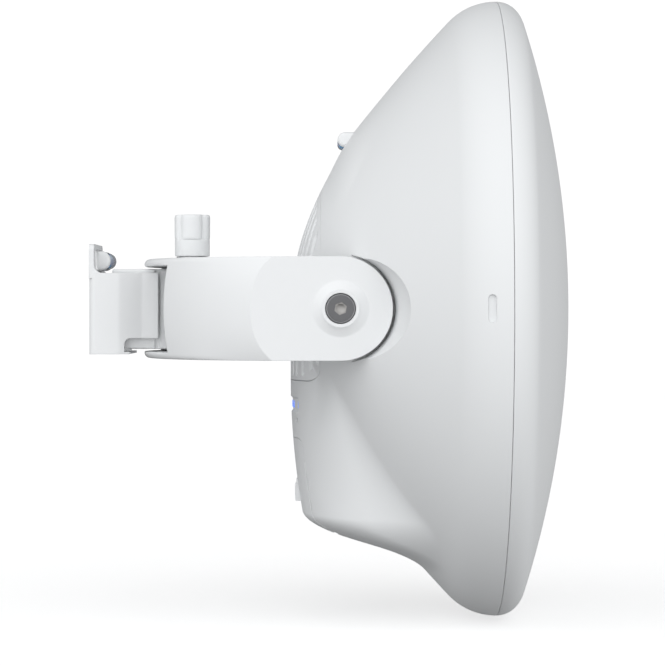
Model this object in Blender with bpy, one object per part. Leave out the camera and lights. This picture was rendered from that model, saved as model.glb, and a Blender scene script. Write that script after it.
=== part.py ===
"""Outdoor wireless bridge: a covered dish radio on a tilting, swivelling pole mount.

Frame: +X is the beam direction and +Z is up. The origin is the centre of the pole
bracket's back face, level with the tilt axis. Lengths are in metres.
"""

import math

import bmesh
import bpy
import numpy as np
from mathutils import Vector

MM = 0.001
GAP = 0.3 * MM

# Axes of the mount
PIVOT_X = 167 * MM
SWIVEL_X = 67 * MM

# Dish housing: a body of revolution about X, x = BACK_X + RISE r^2 - FLARE r^4
RIM_R = 206.5 * MM
BACK_X = 133.9 * MM
RISE = 3.25
FLARE = 11.0
RIM_ARC = 43 * MM
RIM_ARC_START = math.radians(46.9)
WALL = 3.2 * MM

# Pod on the lower back, which holds the sockets
POD_X = 133.6 * MM
POD_TAPER = 0.95
POD_TOP_RISE = 4.5
POD_TAPER_Z = -45 * MM
POD_HALF_WIDTH = 85 * MM
POD_SIDE_DEPTH = 58 * MM
POD_FLOOR = (160 * MM, -151 * MM, 4.0)
POD_CORNER = 40 * MM
POD_BLEND = 34 * MM
POD_BLEND_FROM, POD_BLEND_TO = 70 * MM, 120 * MM

# Radome
RADOME_R = 612 * MM
RADOME_EDGE = 17 * MM
RADOME_WALL = 2.6 * MM
RIM_SIDES = 48

# Arm pockets on both sides of the housing
POCKET_FLOOR_Y = 108 * MM
POCKET_R, POCKET_MOUTH_R, POCKET_MOUTH_Y = 35.5 * MM, 44 * MM, 162 * MM
BOSS_R, BOSS_FACE_Y = 20 * MM, 108.5 * MM

# Yoke
YOKE_HALF_H = 33 * MM
ARM_OUTER_Y, ARM_INNER_Y = 126 * MM, 110.5 * MM
YOKE_A, YOKE_B = 131.5 * MM, 136 * MM
YOKE_CROWN = 3 * MM
YOKE_INNER_X, YOKE_INNER_DEPTH = 125 * MM, 30 * MM
YOKE_WEB, YOKE_SKIN = 4.5 * MM, 8 * MM
WINDOW_HALF_W = 72 * MM
WINDOW_LOW, WINDOW_HIGH = -28.7 * MM, 28 * MM
PIVOT_BOSS_Y = 129 * MM
BOLT_SEAT, BOLT_HEAD_R = 4.2 * MM, 9.8 * MM

# Ribbed heat sink panel on the back
PANEL_R = 79 * MM
PANEL_LOW = -47.6 * MM
RIB_PITCH = 11.17 * MM
GROOVE_W, GROOVE_DEPTH = 4.4 * MM, 2.4 * MM
PANEL_WALL = 5 * MM

# Sliding cover over the sockets
COVER_HALF_W = 40 * MM
COVER_TOP = -86.4 * MM
COVER_FRONT = 163 * MM
LATCH_Z, LATCH_HALF_W = (-129.6 * MM, -114.7 * MM), 9 * MM

# Status lights
LIGHT_Z = (-69.2 * MM, -59 * MM)
LIGHT_HALF_W = 35 * MM
LIGHT_YS = [offset * MM for offset in (-32, -16, 0, 16, 32)]
BUTTON_Y, BUTTON_Z = -30 * MM, -74 * MM

# Inside the housing
BAY_HALF_W = COVER_HALF_W + 1.5 * MM
BAY_ROOF, BAY_FRONT, BAY_WALL = -101.5 * MM, 165.5 * MM, 2.5 * MM
VENT_XY = (157.5 * MM, -30 * MM)
GROUND_YZ = (28 * MM, -128 * MM)
BOARD_X, BOARD_T, BOARD_HALF_W = 157 * MM, 1.6 * MM, 52 * MM
BOARD_LOW, BOARD_HIGH = -97 * MM, 45 * MM
BOARD_SCREW_Y = 46 * MM
BOARD_SCREW_ZS = (-90 * MM, 40 * MM)
REFLECTOR_FOCUS, REFLECTOR_R, REFLECTOR_RIM_X = 125 * MM, 196 * MM, 264 * MM
FEED_R, FEED_BORE_R = 11 * MM, 8.5 * MM

# Small features of the housing
SLOT_X, SLOT_HALF_W, SLOT_FLOOR_Y = PIVOT_X + 91 * MM, 2.5 * MM, 202.6 * MM
EAR_LEVEL_Z, VIAL_OUT, VIAL_R = 32 * MM, 6.7 * MM, 5.8 * MM
LEVEL_XZ, LEVEL_R, LEVEL_HALF_L, LEVEL_SINK = (170.4 * MM, 113.5 * MM), 5.1 * MM, 16 * MM, 2 * MM
LEVEL_VIAL_XZ, LEVEL_VIAL_R, LEVEL_VIAL_HALF_L = (168.8 * MM, 111.4 * MM), 3.6 * MM, 13 * MM
GROMMET_X, GROMMET_R = 155 * MM, 6 * MM

# Knob and its clamp
KNOB_LOW, KNOB_HIGH, KNOB_R = 35.4 * MM, 63.4 * MM, 12 * MM
STUD_R, STUD_HOLE_R = 5 * MM, 5.4 * MM
NUT_HALF_FLATS = 8 * MM

# Pole bracket and swivel hub
BRACKET_HIGH, BRACKET_LOW, EAR_HIGH = 23.7 * MM, -30.4 * MM, 43 * MM
BRACKET_HALF_W, BRACKET_FRONT = 35 * MM, 45.8 * MM
PLATE, JOG = 3.4 * MM, 5 * MM
SCREW_Z = 12 * MM


# ---------------------------------------------------------------- helpers

def clear_scene():
    for obj in list(bpy.data.objects):
        bpy.data.objects.remove(obj, do_unlink=True)


def make_material(name, color, roughness, metallic=0.0, alpha=1.0):
    material = bpy.data.materials.new(name)
    material.use_nodes = True
    shader = material.node_tree.nodes["Principled BSDF"]
    shader.inputs["Base Color"].default_value = (*color, 1.0)
    shader.inputs["Roughness"].default_value = roughness
    shader.inputs["Metallic"].default_value = metallic
    shader.inputs["Alpha"].default_value = alpha
    return material


def world_of(empty):
    """World position of an empty that is placed by location only."""
    position = Vector((0, 0, 0))
    while empty:
        position += empty.location
        empty = empty.parent
    return position


def add_axis(name, position, parent=None):
    """An empty on a joint's axis, which the joint's moving pieces hang from."""
    empty = bpy.data.objects.new(name, None)
    empty.empty_display_size = 0.03
    empty.location = Vector(position) - world_of(parent)
    empty.parent = parent
    bpy.context.collection.objects.link(empty)
    return empty


def add_piece(name, bm, material, parent=None):
    """Turns world-space geometry into a named object whose origin is its parent's."""
    bmesh.ops.recalc_face_normals(bm, faces=bm.faces)
    bmesh.ops.translate(bm, verts=bm.verts, vec=-world_of(parent))
    mesh = bpy.data.meshes.new(name)
    bm.to_mesh(mesh)
    bm.free()
    mesh.shade_smooth()
    mesh.set_sharp_from_angle(angle=math.radians(35))
    obj = bpy.data.objects.new(name, mesh)
    bpy.context.collection.objects.link(obj)
    obj.parent = parent
    if material:
        mesh.materials.append(material)
    return obj


def add_tool(name, bm):
    """A helper solid for a Boolean, which never shows."""
    tool = add_piece(name, bm, None)
    tool.hide_render = True
    tool.display_type = "WIRE"
    return tool


def combine(obj, tool, operation):
    modifier = obj.modifiers.new(operation.lower() + "_" + tool.name, "BOOLEAN")
    modifier.operation = operation
    modifier.solver = "EXACT"
    modifier.object = tool
    return obj


def cut(obj, *tools):
    for tool in tools:
        combine(obj, tool, "DIFFERENCE")
    return obj


def join(obj, *tools):
    for tool in tools:
        combine(obj, tool, "UNION")
    return obj


def keep(obj, *tools):
    for tool in tools:
        combine(obj, tool, "INTERSECT")
    return obj


def arc(center, radius, start, end, steps):
    """Points on a circle in a plane, angles in degrees."""
    angles = np.radians(np.linspace(start, end, steps + 1))
    return [(center[0] + radius * math.cos(a), center[1] + radius * math.sin(a)) for a in angles]


def rounded_rect(low, high, radius, steps=3):
    corners = (
        ((high[0] - radius, high[1] - radius), 0),
        ((low[0] + radius, high[1] - radius), 90),
        ((low[0] + radius, low[1] + radius), 180),
        ((high[0] - radius, low[1] + radius), 270),
    )
    return [p for center, start in corners for p in arc(center, radius, start, start + 90, steps)]


def to_world(axis, along, across):
    """A point given along an axis and by its two coordinates across it, in X, Y, Z order."""
    point = list(across)
    point.insert("XYZ".index(axis), along)
    return Vector(point)


def lathe(bm, profile, axis="X", center=(0, 0), segments=20, closed=False, phase=0.0):
    """Turns (along, radius) points about an axis that runs through center.

    A radius of 0 makes a pole. A closed profile makes a ring.
    """
    angles = phase + np.linspace(0, 2 * math.pi, segments, endpoint=False)
    rings = []
    for along, radius in profile:
        if radius == 0:
            rings.append([bm.verts.new(to_world(axis, along, center))])
            continue
        rings.append([
            bm.verts.new(to_world(axis, along, (center[0] + radius * c, center[1] + radius * s)))
            for c, s in zip(np.cos(angles), np.sin(angles))
        ])
    pairs = list(zip(rings, rings[1:]))
    if closed:
        pairs.append((rings[-1], rings[0]))
    for one, two in pairs:
        bridge(bm, one, two)
    return bm


def bridge(bm, one, two):
    """Faces between two rings of vertices, either of which may be a single pole."""
    count = max(len(one), len(two))
    for i in range(count):
        j = (i + 1) % count
        corners = [one[i % len(one)], one[j % len(one)], two[j % len(two)], two[i % len(two)]]
        bm.faces.new(list(dict.fromkeys(corners)))


def cylinder(bm, radius, low, high, axis="Z", center=(0, 0), segments=20):
    return lathe(bm, [(low, 0), (low, radius), (high, radius), (high, 0)], axis, center, segments)


def tube(bm, inner, outer, low, high, axis="Z", center=(0, 0), segments=20):
    profile = [(low, inner), (low, outer), (high, outer), (high, inner)]
    return lathe(bm, profile, axis, center, segments, closed=True)


def prism(bm, outline, low, high, axis="Z"):
    """A flat outline, given across the axis, extruded along it."""
    bottom = [bm.verts.new(to_world(axis, low, point)) for point in outline]
    top = [bm.verts.new(to_world(axis, high, point)) for point in outline]
    bridge(bm, bottom, top)
    bm.faces.new(bottom)
    bm.faces.new(top)
    return bm


def box(bm, low, high):
    outline = [(low[0], low[1]), (high[0], low[1]), (high[0], high[1]), (low[0], high[1])]
    return prism(bm, outline, low[2], high[2])


def mirrored_y(bm):
    """Mirrors geometry to the other side of the XZ plane."""
    bmesh.ops.scale(bm, vec=(1, -1, 1), verts=bm.verts)
    return bm


# ---------------------------------------------------------------- housing surface

def dome_x(r):
    return BACK_X + RISE * r**2 - FLARE * r**4


ARC_START_R = RIM_R - RIM_ARC * (1 - math.cos(RIM_ARC_START))
RIM_X = dome_x(ARC_START_R) + RIM_ARC * math.sin(RIM_ARC_START)


def smooth_min(a, b, width):
    if width <= 0:
        return min(a, b)
    overlap = max(width - abs(a - b), 0) / width
    return min(a, b) - overlap**2 * width / 4


def smooth_step(value, low, high):
    t = min(max((value - low) / (high - low), 0), 1)
    return t * t * (3 - 2 * t)


def pod_side(y):
    """How far the pod's rounded side falls away from its back, an ellipse with a straight skirt."""
    turn = 0.97
    t = abs(y) / POD_HALF_WIDTH
    if t < turn:
        return POD_SIDE_DEPTH * (1 - math.sqrt(1 - t * t))
    root = math.sqrt(1 - turn * turn)
    slope = POD_SIDE_DEPTH / POD_HALF_WIDTH * turn / root
    return POD_SIDE_DEPTH * (1 - root) + slope * (t - turn) * POD_HALF_WIDTH


def pod_x(y, z):
    back = POD_X + POD_TAPER * max(POD_TAPER_Z - z, 0)**2 + POD_TOP_RISE * max(z, 0)**2
    floor_x, floor_z, floor_slope = POD_FLOOR
    floor = floor_x + floor_slope * (floor_z - z)
    return -smooth_min(-back, -floor, POD_CORNER) + pod_side(y)


def back_x(y, z):
    """The housing's outer back surface, the dome with the pod blended into it."""
    r = math.hypot(y, z)
    blend = POD_BLEND * smooth_step(r, POD_BLEND_FROM, POD_BLEND_TO)
    return smooth_min(dome_x(r), pod_x(y, z), blend)


def back_point(y, z, depth=0.0):
    """A point on the back surface, or that far inside it along the normal."""
    step = 0.2 * MM
    slope_y = (back_x(y + step, z) - back_x(y - step, z)) / (2 * step)
    slope_z = (back_x(y, z + step) - back_x(y, z - step)) / (2 * step)
    inward = Vector((1, -slope_y, -slope_z)).normalized()
    return Vector((back_x(y, z), y, z)) + inward * depth


def rim_point(angle, turn, depth=0.0):
    """A point on the rounded rim: turn 0 is the widest place."""
    radius = RIM_R - RIM_ARC + (RIM_ARC - depth) * math.cos(turn)
    x = RIM_X - (RIM_ARC - depth) * math.sin(turn)
    return Vector((x, radius * math.sin(angle), radius * math.cos(angle)))


def ring_angles(count=52, crowding=0.36):
    """Angles from the top, closer together near the bottom, where the pod is."""
    even = np.linspace(0, 2 * math.pi, count, endpoint=False)
    return even + crowding * np.sin(even)


def housing_rings(bm, depth, radii, turns):
    """Rings of vertices over the back surface and round the rim, from the middle out."""
    rings = [[bm.verts.new(back_point(0, 0, depth))]]
    for r in radii:
        points = [back_point(r * math.sin(a), r * math.cos(a), depth) for a in ring_angles()]
        rings.append([bm.verts.new(point) for point in points])
    for turn in turns:
        rings.append([bm.verts.new(rim_point(a, turn, depth)) for a in ring_angles()])
    return rings


OUTER_RADII = [r * MM for r in (26, 48, 66, 82, 96, 108, 120, 131, 141, 150, 159, 169, 181)]
INNER_RADII = [r * MM for r in (34, 62, 86, 106, 122, 136, 147, 158, 174)]


def housing_skin(depth_out, depth_in):
    """A closed shell between two depths under the back surface, open at the rim."""
    bm = bmesh.new()
    outer = housing_rings(bm, depth_out, OUTER_RADII, RIM_ARC_START * np.array((1, 0.62, 0.3, 0)))
    inner = housing_rings(bm, depth_in, INNER_RADII, RIM_ARC_START * np.array((1, 0.5, 0.2, 0)))
    for rings in (outer, inner):
        for one, two in zip(rings, rings[1:]):
            bridge(bm, one, two)
    bridge(bm, outer[-1], inner[-1])
    return bm


def housing_core(depth):
    """The solid that the housing would be if it were filled, to that depth."""
    bm = bmesh.new()
    rings = housing_rings(bm, depth, INNER_RADII, RIM_ARC_START * np.array((1, 0.5)))
    for one, two in zip(rings, rings[1:]):
        bridge(bm, one, two)
    bm.faces.new(rings[-1])
    return bm


def back_slab(ys, zs, depth_out, depth_in):
    """A closed slab that follows the back surface over a grid of Y and Z values."""
    bm = bmesh.new()
    layers = [
        [[bm.verts.new(back_point(y, z, depth)) for z in zs] for y in ys]
        for depth in (depth_out, depth_in)
    ]
    for layer in layers:
        for one, two in zip(layer, layer[1:]):
            for i in range(len(zs) - 1):
                bm.faces.new((one[i], one[i + 1], two[i + 1], two[i]))
    rims = [edge_loop(layer) for layer in layers]
    bridge(bm, rims[0], rims[1])
    return bm


def edge_loop(layer):
    """The vertices round the edge of a grid, in order."""
    first, last = layer[0], layer[-1]
    right = [row[-1] for row in layer[1:-1]]
    left = [row[0] for row in layer[-2:0:-1]]
    return first + right + last[::-1] + left


def spread(low, high, count):
    return list(np.linspace(low, high, count + 1))


def panel_outline(grow=0.0):
    """The heat sink's outline seen from behind: a circle cut off low down with round corners."""
    radius = PANEL_R + grow
    low = PANEL_LOW - grow
    corner = 22 * MM
    reach = math.sqrt((radius - corner)**2 - (low + corner)**2)
    lift = math.degrees(math.atan2(low + corner, reach))
    right = arc((reach, low + corner), corner, -90, lift, 5)
    top = arc((0, 0), radius, lift, 180 - lift, 26)
    left = arc((-reach, low + corner), corner, 180 - lift, 270, 5)
    return right + top[1:-1] + left


# ---------------------------------------------------------------- housing pieces

def pocket_frustum(grow, floor_y):
    """The tapered round space round the tilt axis, or the cup that lines it."""
    slope = (POCKET_MOUTH_R - POCKET_R) / (POCKET_MOUTH_Y - POCKET_FLOOR_Y)
    far = 172 * MM
    profile = [
        (floor_y, 0),
        (floor_y, POCKET_R + grow + slope * (floor_y - POCKET_FLOOR_Y)),
        (far, POCKET_R + grow + slope * (far - POCKET_FLOOR_Y)),
        (far, 0),
    ]
    return lathe(bmesh.new(), profile, "Y", (PIVOT_X, 0), 36)


def make_rear_shell(material, parent):
    """The housing's back: dome, pod, arm pockets, socket bay and their openings."""
    shell = add_piece("rear_shell", housing_skin(0, WALL), material, parent)
    core = add_tool("core_tool", housing_core(WALL / 2))
    for side, turn in (("left", lambda bm: bm), ("right", mirrored_y)):
        cup = add_tool("cup_tool_" + side, turn(pocket_frustum(2.8 * MM, POCKET_FLOOR_Y - 2.8 * MM)))
        keep(cup, core)
        boss = add_tool(
            "boss_tool_" + side,
            turn(cylinder(bmesh.new(), BOSS_R, 78 * MM, BOSS_FACE_Y, "Y", (PIVOT_X, 0), 24)),
        )
        pocket = add_tool("pocket_tool_" + side, turn(pocket_frustum(0, POCKET_FLOOR_Y)))
        bore = add_tool(
            "bore_tool_" + side,
            turn(cylinder(bmesh.new(), 9.3 * MM, 55 * MM, 115 * MM, "Y", (PIVOT_X, 0), 20)),
        )
        slot = add_tool("slot_tool_" + side, turn(side_slot()))
        join(shell, cup)
        cut(shell, pocket)
        join(shell, boss)
        cut(shell, bore, slot)
    bay = add_tool("bay_tool", bay_outside())
    keep(bay, core)
    cut(bay, add_tool("bay_space_tool", bay_inside()))
    join(shell, bay)
    panel = add_tool("panel_tool", prism(bmesh.new(), panel_outline(0.5 * MM), 100 * MM, 200 * MM, "X"))
    door = add_tool("door_tool", cover_box(GAP, -1))
    cut(shell, panel, door)
    lights = back_slab(spread(-LIGHT_HALF_W, LIGHT_HALF_W, 10), LIGHT_Z, -2 * MM, 1.2 * MM)
    cut(shell, add_tool("light_recess_tool", lights))
    for index, y in enumerate(LIGHT_YS):
        bar_hole = light_bar(y, 1.3 * MM, 2.8 * MM, 120 * MM, 170 * MM)
        cut(shell, add_tool(f"light_slot_tool_{index}", bar_hole))
    hole = cylinder(bmesh.new(), 1.8 * MM, 120 * MM, 170 * MM, "X", (BUTTON_Y, BUTTON_Z), 16)
    cut(shell, add_tool("button_hole_tool", hole))
    for name, low, high in socket_boxes(GAP):
        cut(shell, add_tool(name + "_hole_tool", box(bmesh.new(), low, high)))
    cut_level_recess(shell)
    vent = cylinder(bmesh.new(), 4.3 * MM, -110 * MM, -90 * MM, "Z", VENT_XY, 16)
    ground = cylinder(bmesh.new(), 2.3 * MM, 160 * MM, 175 * MM, "X", GROUND_YZ, 16)
    return cut(shell, add_tool("vent_hole_tool", vent), add_tool("ground_hole_tool", ground))


def side_slot():
    """The shallow upright recess in each side of the housing."""
    outline = arc((SLOT_X, 6 * MM), SLOT_HALF_W, 0, 180, 6)
    outline += arc((SLOT_X, -6 * MM), SLOT_HALF_W, 180, 360, 6)
    return prism(bmesh.new(), outline, SLOT_FLOOR_Y, 210 * MM, "Y")


def dish_level_outline(grow=0.0):
    """The end view of the housing's level: round toward the back, running forward into the dome."""
    x, z = LEVEL_XZ
    radius = LEVEL_R + grow
    return arc(LEVEL_XZ, radius, 90, 270, 12) + [(x + 12 * MM, z - radius), (x + 12 * MM, z + radius)]


def dish_level_vial(grow=0.0):
    half = LEVEL_VIAL_HALF_L + grow
    return cylinder(bmesh.new(), LEVEL_VIAL_R + grow, -half, half, "Y", LEVEL_VIAL_XZ, 20)


def cut_level_recess(shell):
    """The shallow seat that takes the foot of the level and the back of its vial."""
    half = LEVEL_HALF_L + GAP
    recess = add_tool("level_recess_tool", prism(bmesh.new(), dish_level_outline(GAP), -half, half, "Y"))
    join(recess, add_tool("vial_recess_tool", dish_level_vial(GAP)))
    cut(recess, add_tool("level_floor_tool", housing_core(LEVEL_SINK + GAP)))
    cut(shell, recess)


def bay_outside():
    low = (120 * MM, -BAY_HALF_W - BAY_WALL, -170 * MM)
    high = (BAY_FRONT + BAY_WALL, BAY_HALF_W + BAY_WALL, BAY_ROOF + BAY_WALL)
    return box(bmesh.new(), low, high)


def bay_inside():
    return box(bmesh.new(), (110 * MM, -BAY_HALF_W, -180 * MM), (BAY_FRONT, BAY_HALF_W, BAY_ROOF))


def cover_box(gap, side):
    """The region of the back that the sliding cover fills, seen from behind with round corners."""
    half = COVER_HALF_W - side * gap
    top = COVER_TOP - side * gap
    corner = 9 * MM
    outline = [(-half, -175 * MM), (half, -175 * MM)]
    outline += arc((half - corner, top - corner), corner, 0, 90, 4)
    outline += arc((-half + corner, top - corner), corner, 90, 180, 4)
    return prism(bmesh.new(), outline, 110 * MM, COVER_FRONT - side * gap, "X")


def light_bar(y, half_w, half_h, x_low, x_high):
    z = sum(LIGHT_Z) / 2
    return box(bmesh.new(), (x_low, y - half_w, z - half_h), (x_high, y + half_w, z + half_h))


def socket_boxes(gap):
    """Where the sockets pass through the bay's roof: name, low corner, high corner."""
    spans = (("ethernet_jack", -22, -5.5, 143.5), ("sfp_cage", 0, 14, 146.5), ("power_jack", 20, 31, 146))
    return [
        (name, (x * MM - gap, low * MM - gap, -104 * MM), (BOARD_X - GAP + gap, high * MM + gap, -80 * MM))
        for name, low, high, x in spans
    ]


def make_radome(material, parent):
    """The convex front cover: a shallow sphere with a rounded edge and a locating lip."""
    tip_x = radome_tip()
    start = math.asin((RIM_R - RADOME_EDGE) / (RADOME_R - RADOME_EDGE))
    center_x = tip_x - RADOME_R
    edge_x = RIM_X + GAP
    edge_r = RIM_R - RADOME_EDGE

    def skin(depth, steps):
        cap = [
            (center_x + (RADOME_R - depth) * math.cos(a), (RADOME_R - depth) * math.sin(a))
            for a in np.linspace(0, start, steps + 1)
        ]
        radius = RADOME_EDGE - depth
        edge = [
            (edge_x + radius * math.sin(a), edge_r + radius * math.cos(a))
            for a in np.linspace(math.pi / 2 - start, 0, 5)
        ]
        return cap[:-1] + edge

    lip_low, lip_out, lip_in = 264.5 * MM, 199.5 * MM, 196.8 * MM
    lip = [(edge_x, lip_out), (lip_low, lip_out), (lip_low, lip_in), (edge_x + 4 * MM, lip_in)]
    outer = skin(0, 4)
    inner = skin(RADOME_WALL, 3)[:-2]
    outer[0] = (outer[0][0], 0)
    inner[0] = (inner[0][0], 0)
    bm = lathe(bmesh.new(), outer + lip + inner[::-1], "X", (0, 0), RIM_SIDES)
    add_piece("radome", bm, material, parent)


def radome_tip():
    """Where the radome's sphere must end for its rounded edge to meet the rim plane."""
    start = math.asin((RIM_R - RADOME_EDGE) / (RADOME_R - RADOME_EDGE))
    return RIM_X + GAP + RADOME_R - (RADOME_R - RADOME_EDGE) * math.cos(start)


def make_heat_sink(material, parent):
    """The ribbed panel: skin in the housing's opening, flange, pedestal and board stands."""
    reach = PANEL_R + 8 * MM
    ys = spread(-reach, reach, 10)
    zs = spread(PANEL_LOW - 8 * MM, reach, 8)
    panel = add_piece("heat_sink", back_slab(ys, zs, 0, PANEL_WALL), material, parent)
    keep(panel, add_tool("panel_edge_tool", prism(bmesh.new(), panel_outline(), 100 * MM, 200 * MM, "X")))
    flange = add_tool("flange_tool", back_slab(ys, zs, WALL + 1.2 * MM, PANEL_WALL + 1.6 * MM))
    flange_edge = prism(bmesh.new(), panel_outline(4 * MM), 100 * MM, 200 * MM, "X")
    keep(flange, add_tool("flange_edge_tool", flange_edge))
    for index, turn in enumerate((lambda item: item, mirrored_y)):
        low, high = (140 * MM, PANEL_R - 2 * MM, -BOSS_R - 1 * MM), (180 * MM, 100 * MM, BOSS_R + 1 * MM)
        cut(flange, add_tool(f"boss_clearance_tool_{index}", turn(box(bmesh.new(), low, high))))
    pedestal = box(bmesh.new(), (137.5 * MM, -25 * MM, -20 * MM), (152 * MM, 25 * MM, 30 * MM))
    join(panel, flange, add_tool("pedestal_tool", pedestal))
    for index, y in enumerate((-BOARD_SCREW_Y, BOARD_SCREW_Y)):
        stand = cylinder(bmesh.new(), 4 * MM, 149 * MM, BOARD_X - GAP, "X", (y, BOARD_SCREW_ZS[1]), 16)
        bore = cylinder(bmesh.new(), 1.8 * MM, 152 * MM, 170 * MM, "X", (y, BOARD_SCREW_ZS[1]), 12)
        join(panel, add_tool(f"stand_tool_{index}", stand))
        cut(panel, add_tool(f"stand_bore_tool_{index}", bore))
    for index in range(-5, 6):
        y = index * RIB_PITCH
        top = math.sqrt((PANEL_R - 5 * MM)**2 - y * y)
        sides = [y - GROOVE_W / 2, y + GROOVE_W / 2]
        groove = back_slab(sides, spread(PANEL_LOW + 4.5 * MM, top, 5), -2 * MM, GROOVE_DEPTH)
        cut(panel, add_tool(f"groove_tool_{index}", groove))
    return panel


def make_dish_optics(materials, parent):
    """Reflector, feed tube, its plastic support and the sub-reflector."""
    apex = REFLECTOR_RIM_X - REFLECTOR_R**2 / (4 * REFLECTOR_FOCUS)
    hole = 11.4 * MM
    radii = np.linspace(hole, REFLECTOR_R, 7)
    front = [(apex + r * r / (4 * REFLECTOR_FOCUS), r) for r in radii]
    back = [(x - 1.5 * MM, r) for x, r in front]
    flange = [(REFLECTOR_RIM_X, 199 * MM), (REFLECTOR_RIM_X - 1.5 * MM, 199 * MM)]
    reflector = lathe(bmesh.new(), front + flange + back[::-1], "X", (0, 0), 36, True)
    add_piece("reflector", reflector, materials["sheet_metal"], parent)
    feed = [
        (162 * MM, FEED_BORE_R), (162 * MM, FEED_R), (179 * MM, FEED_R), (179 * MM, 22 * MM),
        (182 * MM, 22 * MM), (182 * MM, FEED_R), (288 * MM, FEED_R), (288 * MM, FEED_BORE_R),
    ]
    feed_bm = lathe(bmesh.new(), feed, "X", (0, 0), 20, True)
    add_piece("feed_tube", feed_bm, materials["sheet_metal"], parent)
    support = [
        (278 * MM, FEED_R + GAP), (278 * MM, 14 * MM), (286 * MM, 15 * MM), (296 * MM, 27 * MM),
        (296 * MM, 22 * MM), (288.5 * MM, FEED_R + GAP),
    ]
    support_bm = lathe(bmesh.new(), support, "X", (0, 0), 20, True)
    add_piece("feed_support", support_bm, materials["dark_plastic"], parent)
    disc = 296 * MM + GAP
    sub = [(disc, 0), (disc, 28 * MM), (299.5 * MM, 30 * MM), (301 * MM, 30 * MM), (301 * MM, 0)]
    add_piece("sub_reflector", lathe(bmesh.new(), sub, "X", (0, 0), 24), materials["sheet_metal"], parent)


def make_electronics(materials, parent):
    """Board, shield, thermal pad, sockets, lights and the small fittings round the bay."""
    board_low = (BOARD_X, -BOARD_HALF_W, BOARD_LOW)
    board_high = (BOARD_X + BOARD_T, BOARD_HALF_W, BOARD_HIGH)
    blank = box(bmesh.new(), board_low, board_high)
    board = add_piece("radio_board", blank, materials["circuit_board"], parent)
    shield = box(bmesh.new(), (154 * MM, -28 * MM, -24 * MM), (BOARD_X - GAP, 28 * MM, 34 * MM))
    add_piece("rf_shield", shield, materials["sheet_metal"], parent)
    pad = box(bmesh.new(), (152.3 * MM, -24 * MM, -19 * MM), (153.7 * MM, 24 * MM, 29 * MM))
    add_piece("thermal_pad", pad, materials["thermal_pad"], parent)
    for name, low, high in socket_boxes(0):
        socket = add_piece(name, box(bmesh.new(), low, high), materials["sheet_metal"], parent)
        mouth_low = (low[0] + 1.4 * MM, low[1] + 1.4 * MM, low[2] - 1 * MM)
        mouth_high = (high[0] - 1.4 * MM, high[1] - 1.4 * MM, low[2] + 13 * MM)
        cut(socket, add_tool(name + "_mouth_tool", box(bmesh.new(), mouth_low, mouth_high)))
    for row, z in enumerate(BOARD_SCREW_ZS):
        for column, y in enumerate((-BOARD_SCREW_Y, BOARD_SCREW_Y)):
            hole = cylinder(bmesh.new(), 1.8 * MM, 150 * MM, 165 * MM, "X", (y, z), 12)
            cut(board, add_tool(f"board_hole_tool_{row}{column}", hole))
            head = BOARD_X + BOARD_T + GAP
            tip, top = head - 6 * MM, head + 1.6 * MM
            profile = [
                (tip, 0), (tip, 1.5 * MM), (head, 1.5 * MM), (head, 3 * MM), (top, 2.6 * MM), (top, 0),
            ]
            screw = lathe(bmesh.new(), profile, "X", (y, z), 10)
            add_piece(f"board_screw_{2 * row + column + 1}", screw, materials["steel"], parent)
    make_light_pipe(materials["light"], parent)
    make_port_gasket(materials["rubber"], parent)
    vent = [
        (-108 * MM, 0), (-108 * MM, 5.5 * MM), (BAY_ROOF - GAP, 6.2 * MM), (BAY_ROOF - GAP, 4 * MM),
        (-97.8 * MM, 4 * MM), (-97.8 * MM, 0),
    ]
    add_piece("vent_plug", lathe(bmesh.new(), vent, "Z", VENT_XY, 16), materials["dark_plastic"], parent)
    ground = [
        (161.5 * MM, 0), (161.5 * MM, 4 * MM), (BAY_FRONT - GAP, 4 * MM), (BAY_FRONT - GAP, 2 * MM),
        (171 * MM, 2 * MM), (171 * MM, 0),
    ]
    add_piece("ground_screw", lathe(bmesh.new(), ground, "X", GROUND_YZ, 16), materials["steel"], parent)


def make_light_pipe(material, parent):
    """Bars that show through the recess in the back, joined by a strip behind the wall."""
    strip_z = sum(LIGHT_Z) / 2
    strip = box(bmesh.new(), (148 * MM, -34 * MM, strip_z - 2 * MM), (151 * MM, 34 * MM, strip_z + 2 * MM))
    pipe = add_piece("light_pipe", strip, material, parent)
    for index, y in enumerate(LIGHT_YS):
        face = back_x(y, strip_z) + 0.9 * MM
        join(pipe, add_tool(f"light_bar_tool_{index}", light_bar(y, 1.0 * MM, 2.5 * MM, face, 150 * MM)))


def make_port_gasket(material, parent):
    half = 35 * MM
    low = (145.5 * MM, -half, BAY_ROOF - 1.8 * MM)
    high = (BAY_FRONT - 6 * MM, half, BAY_ROOF - GAP)
    gasket = add_piece("port_gasket", box(bmesh.new(), low, high), material, parent)
    for name, hole_low, hole_high in socket_boxes(GAP):
        cut(gasket, add_tool(name + "_gasket_tool", box(bmesh.new(), hole_low, hole_high)))
    vent = cylinder(bmesh.new(), 6.6 * MM, -112 * MM, -95 * MM, "Z", VENT_XY, 16)
    cut(gasket, add_tool("vent_gasket_tool", vent))


def make_rim_seal(material, parent):
    """The rubber ring that closes the gap between the shell's rim and the radome's lip."""
    ring = tube(bmesh.new(), 200.1 * MM, 202.1 * MM, 266.5 * MM, RIM_X - GAP, "X", (0, 0), RIM_SIDES)
    add_piece("rim_seal", ring, material, parent)


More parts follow.
